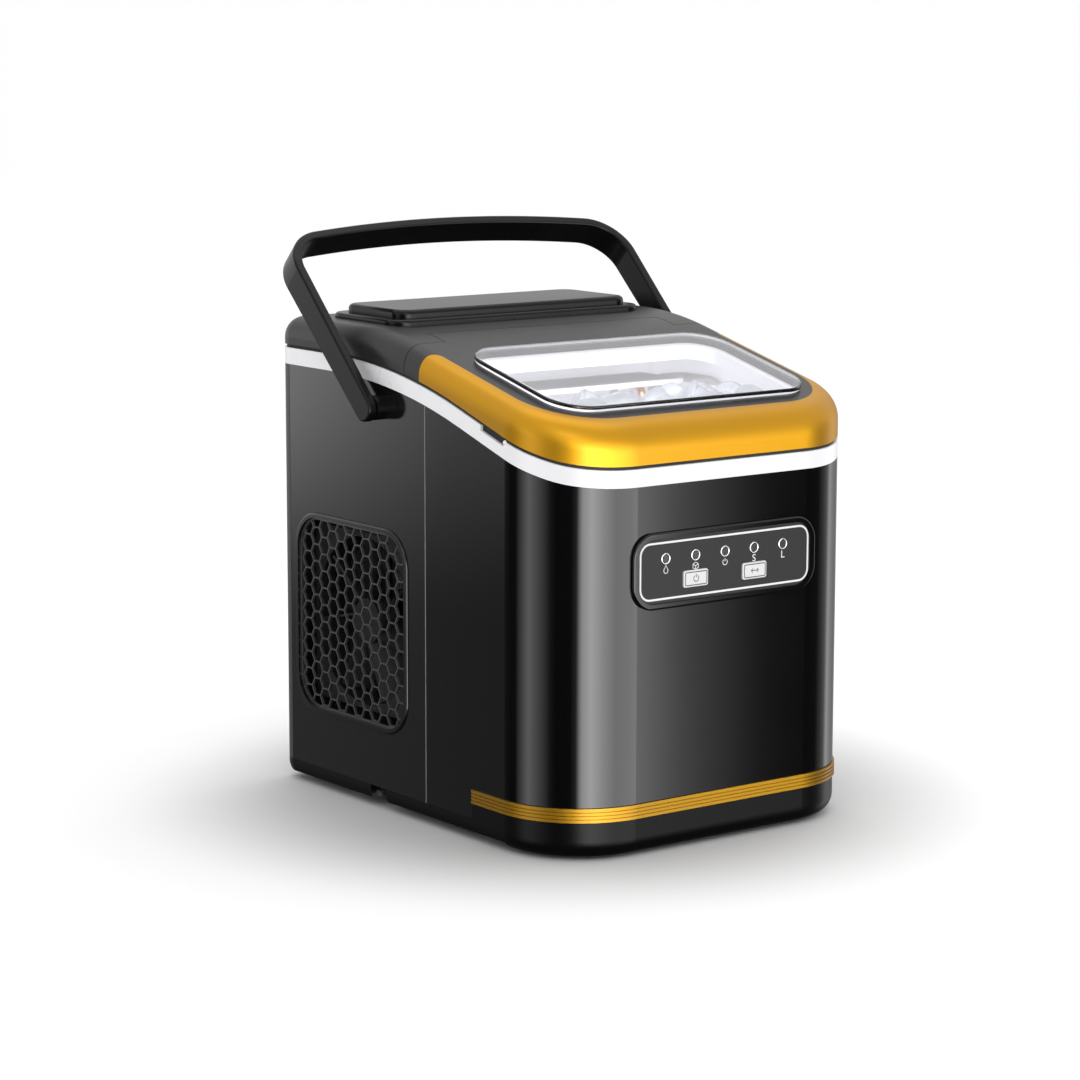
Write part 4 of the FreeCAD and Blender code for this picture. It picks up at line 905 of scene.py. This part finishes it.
# %% Floor
# the distances from the middle are in metres, and the lightness of the painted shadow runs from 0 to 1
FLOOR_PAINTED_SHADOW = {"From Min": 0.13, "From Max": 0.27, "To Min": 0.62, "To Max": 0.95}
clear_selection()
bpy.ops.mesh.primitive_plane_add(size=400)
floor = bpy.context.object
floor.name = "floor"
floor_painted_shadow = finish("floor_painted_shadow", (0.93, 0.93, 0.93), 0.9, 0.02, 0.01, Specular_IOR_Level=0.1)
tree = floor_painted_shadow.node_tree
away = tree.nodes.new("ShaderNodeVectorMath")
away.operation = "LENGTH"
place = tree.nodes.new("ShaderNodeTexCoord")
tree.links.new(place.outputs["Object"], away.inputs[0])
shadow_fade = tree.nodes.new("ShaderNodeMapRange")
shadow_fade.interpolation_type = "SMOOTHSTEP"
for socket, value in FLOOR_PAINTED_SHADOW.items():
    shadow_fade.inputs[socket].default_value = value
tree.links.new(away.outputs["Value"], shadow_fade.inputs["Value"])
tree.links.new(shadow_fade.outputs["Result"], tree.nodes["Principled BSDF"].inputs["Base Color"])
floor.data.materials.append(floor_painted_shadow)
floor.visible_glossy = False

# %% [markdown]
# The studio round the machine is a ring of bright and dark strips, written as a list of compass angles
# with a brightness low down and one higher up. Two ramps read the angle of a mirrored ray, and its slope
# mixes them. Above the ring is an even white ceiling, and steep downward rays meet the machine's own dim
# shadow. Light for rough surfaces has no stripes: it is white on all sides, a little stronger from the
# front and right.

# %% Studio ring
# angle in degrees round +Z from +X, brightness low down, brightness higher up
STRIPS = [(-180, 1.5, 1.5), (-164, 0.15, 0.15), (-157, 0.01, 0.01), (-138, 0.02, 0.02), (-131, 0.4, 0.4),
          (-124, 7.5, 7.5), (-113, 10.5, 10.5), (-97, 7.0, 7.0), (-82, 4.7, 4.7), (-61, 4.9, 4.9),
          (-51.5, 5.3, 5.3), (-50.6, 1.15, 1.15), (-49.7, 0.1, 0.1), (-48.6, 0.02, 0.02), (-26, 0.05, 0.05),
          (-14, 0.5, 0.5), (-6, 0.9, 0.9), (1, 2.4, 2.4), (12, 1.1, 1.1), (24, 0.5, 0.5), (95, 0.4, 1.2),
          (116, 0.35, 2.0), (121.5, 0.3, 3.6), (123.5, 0.25, 2.0), (125, 0.2, 1.0), (128, 0.15, 0.7),
          (133, 0.05, 0.1), (137, 0.02, 0.02), (147, 0.03, 0.03), (156, 1.1, 1.1), (167, 2.8, 2.8),
          (179.9, 1.5, 1.5)]
BRIGHTEST = 12.0
CEILING = 1.15
SHADE = 0.06
HIGH_SLOPES, CEILING_SLOPES, SHADE_SLOPES = (-0.19, -0.10), (0.05, 0.45), (-0.6, -0.3)
ALL_ROUND, MORE_FROM_RIGHT, MORE_FROM_FRONT = 1.05, 0.45, 0.15


def ring_ramp(tree, turn_share, levels):
    ramp = tree.nodes.new("ShaderNodeValToRGB")
    stops = ramp.color_ramp.elements
    for index, (degrees, level) in enumerate(levels):
        position = (degrees + 180) / 360
        stop = stops[index] if index < 2 else stops.new(position)
        stop.position = position
        value = level / BRIGHTEST
        stop.color = (value, value, value, 1)
    tree.links.new(turn_share, ramp.inputs["Fac"])
    return math_node(tree, "MULTIPLY", ramp.outputs["Color"], BRIGHTEST)


def blended(tree, first, second, value, low, high):
    """From the first brightness to the second as a value goes from low to high."""
    share = tree.nodes.new("ShaderNodeMapRange")
    share.interpolation_type = "SMOOTHSTEP"
    share.inputs["From Min"].default_value = low
    share.inputs["From Max"].default_value = high
    tree.links.new(value, share.inputs["Value"])
    mix = tree.nodes.new("ShaderNodeMix")
    mix.data_type = "FLOAT"
    tree.links.new(share.outputs["Result"], mix.inputs["Factor"])
    for socket, source in (("A", first), ("B", second)):
        if isinstance(source, float):
            mix.inputs[socket].default_value = source
        else:
            tree.links.new(source, mix.inputs[socket])
    return mix.outputs["Result"]


def make_world():
    world = bpy.data.worlds.new("studio")
    bpy.context.scene.world = world
    world.use_nodes = True
    tree = world.node_tree
    tree.nodes.clear()
    out = tree.nodes.new("ShaderNodeOutputWorld")
    place = tree.nodes.new("ShaderNodeTexCoord")
    split = tree.nodes.new("ShaderNodeSeparateXYZ")
    tree.links.new(place.outputs["Generated"], split.inputs[0])
    angle = math_node(tree, "ARCTAN2", split.outputs["Y"], split.outputs["X"])
    turn_share = math_node(tree, "ADD", math_node(tree, "MULTIPLY", angle, 1 / (2 * math.pi)), 0.5)
    low_ring = ring_ramp(tree, turn_share, [(strip[0], strip[1]) for strip in STRIPS])
    high_ring = ring_ramp(tree, turn_share, [(strip[0], strip[2]) for strip in STRIPS])
    rise = split.outputs["Z"]
    ring = blended(tree, low_ring, high_ring, rise, *HIGH_SLOPES)
    ring = blended(tree, ring, CEILING, rise, *CEILING_SLOPES)
    ring = blended(tree, SHADE, ring, rise, *SHADE_SLOPES)
    mirrored = tree.nodes.new("ShaderNodeBackground")
    tree.links.new(ring, mirrored.inputs["Strength"])
    plain = tree.nodes.new("ShaderNodeBackground")
    plain.inputs["Color"].default_value = (1, 1, 1, 1)
    ray = tree.nodes.new("ShaderNodeLightPath")
    from_right = math_node(tree, "MULTIPLY", split.outputs["X"], MORE_FROM_RIGHT)
    from_front = math_node(tree, "MULTIPLY", split.outputs["Y"], -MORE_FROM_FRONT)
    side_light = math_node(tree, "ADD", from_right, from_front)
    shaped = math_node(tree, "MULTIPLY", side_light, ray.outputs["Is Diffuse Ray"])
    tree.links.new(math_node(tree, "ADD", shaped, ALL_ROUND), plain.inputs["Strength"])
    choose = tree.nodes.new("ShaderNodeMixShader")
    tree.links.new(ray.outputs["Is Glossy Ray"], choose.inputs["Fac"])
    tree.links.new(plain.outputs[0], choose.inputs[1])
    tree.links.new(mirrored.outputs[0], choose.inputs[2])
    tree.links.new(choose.outputs[0], out.inputs["Surface"])


make_world()
bpy.context.scene.view_settings.view_transform = "Standard"

# %% [markdown]
# Two large lamps add a soft shadow. A third is a small fill inside the bucket, under the rear of the
# window, because little light reaches a bucket under a black lid.

# %% Lamps


def soft_lamp(name, place, target, wide, tall, power):
    data = bpy.data.lights.new(name, "AREA")
    data.shape = "RECTANGLE"
    data.size, data.size_y = wide, tall
    data.energy = power
    lamp = bpy.data.objects.new(name, data)
    lamp.location = place
    lamp.rotation_euler = (Vector(target) - Vector(place)).to_track_quat("-Z", "Y").to_euler()
    bpy.context.scene.collection.objects.link(lamp)
    return lamp


soft_lamp("key", (-1.3, -1.5, 1.9), (0, 0, 0.15), 0.9, 0.9, 5)
soft_lamp("top", (0.2, 0.3, 1.7), (0, 0, 0.2), 1.4, 1.0, 4)
soft_lamp("bucket_fill", (0, -0.037, 0.238), (0, 0.06, 0.226), 0.15, 0.014, 0.035)
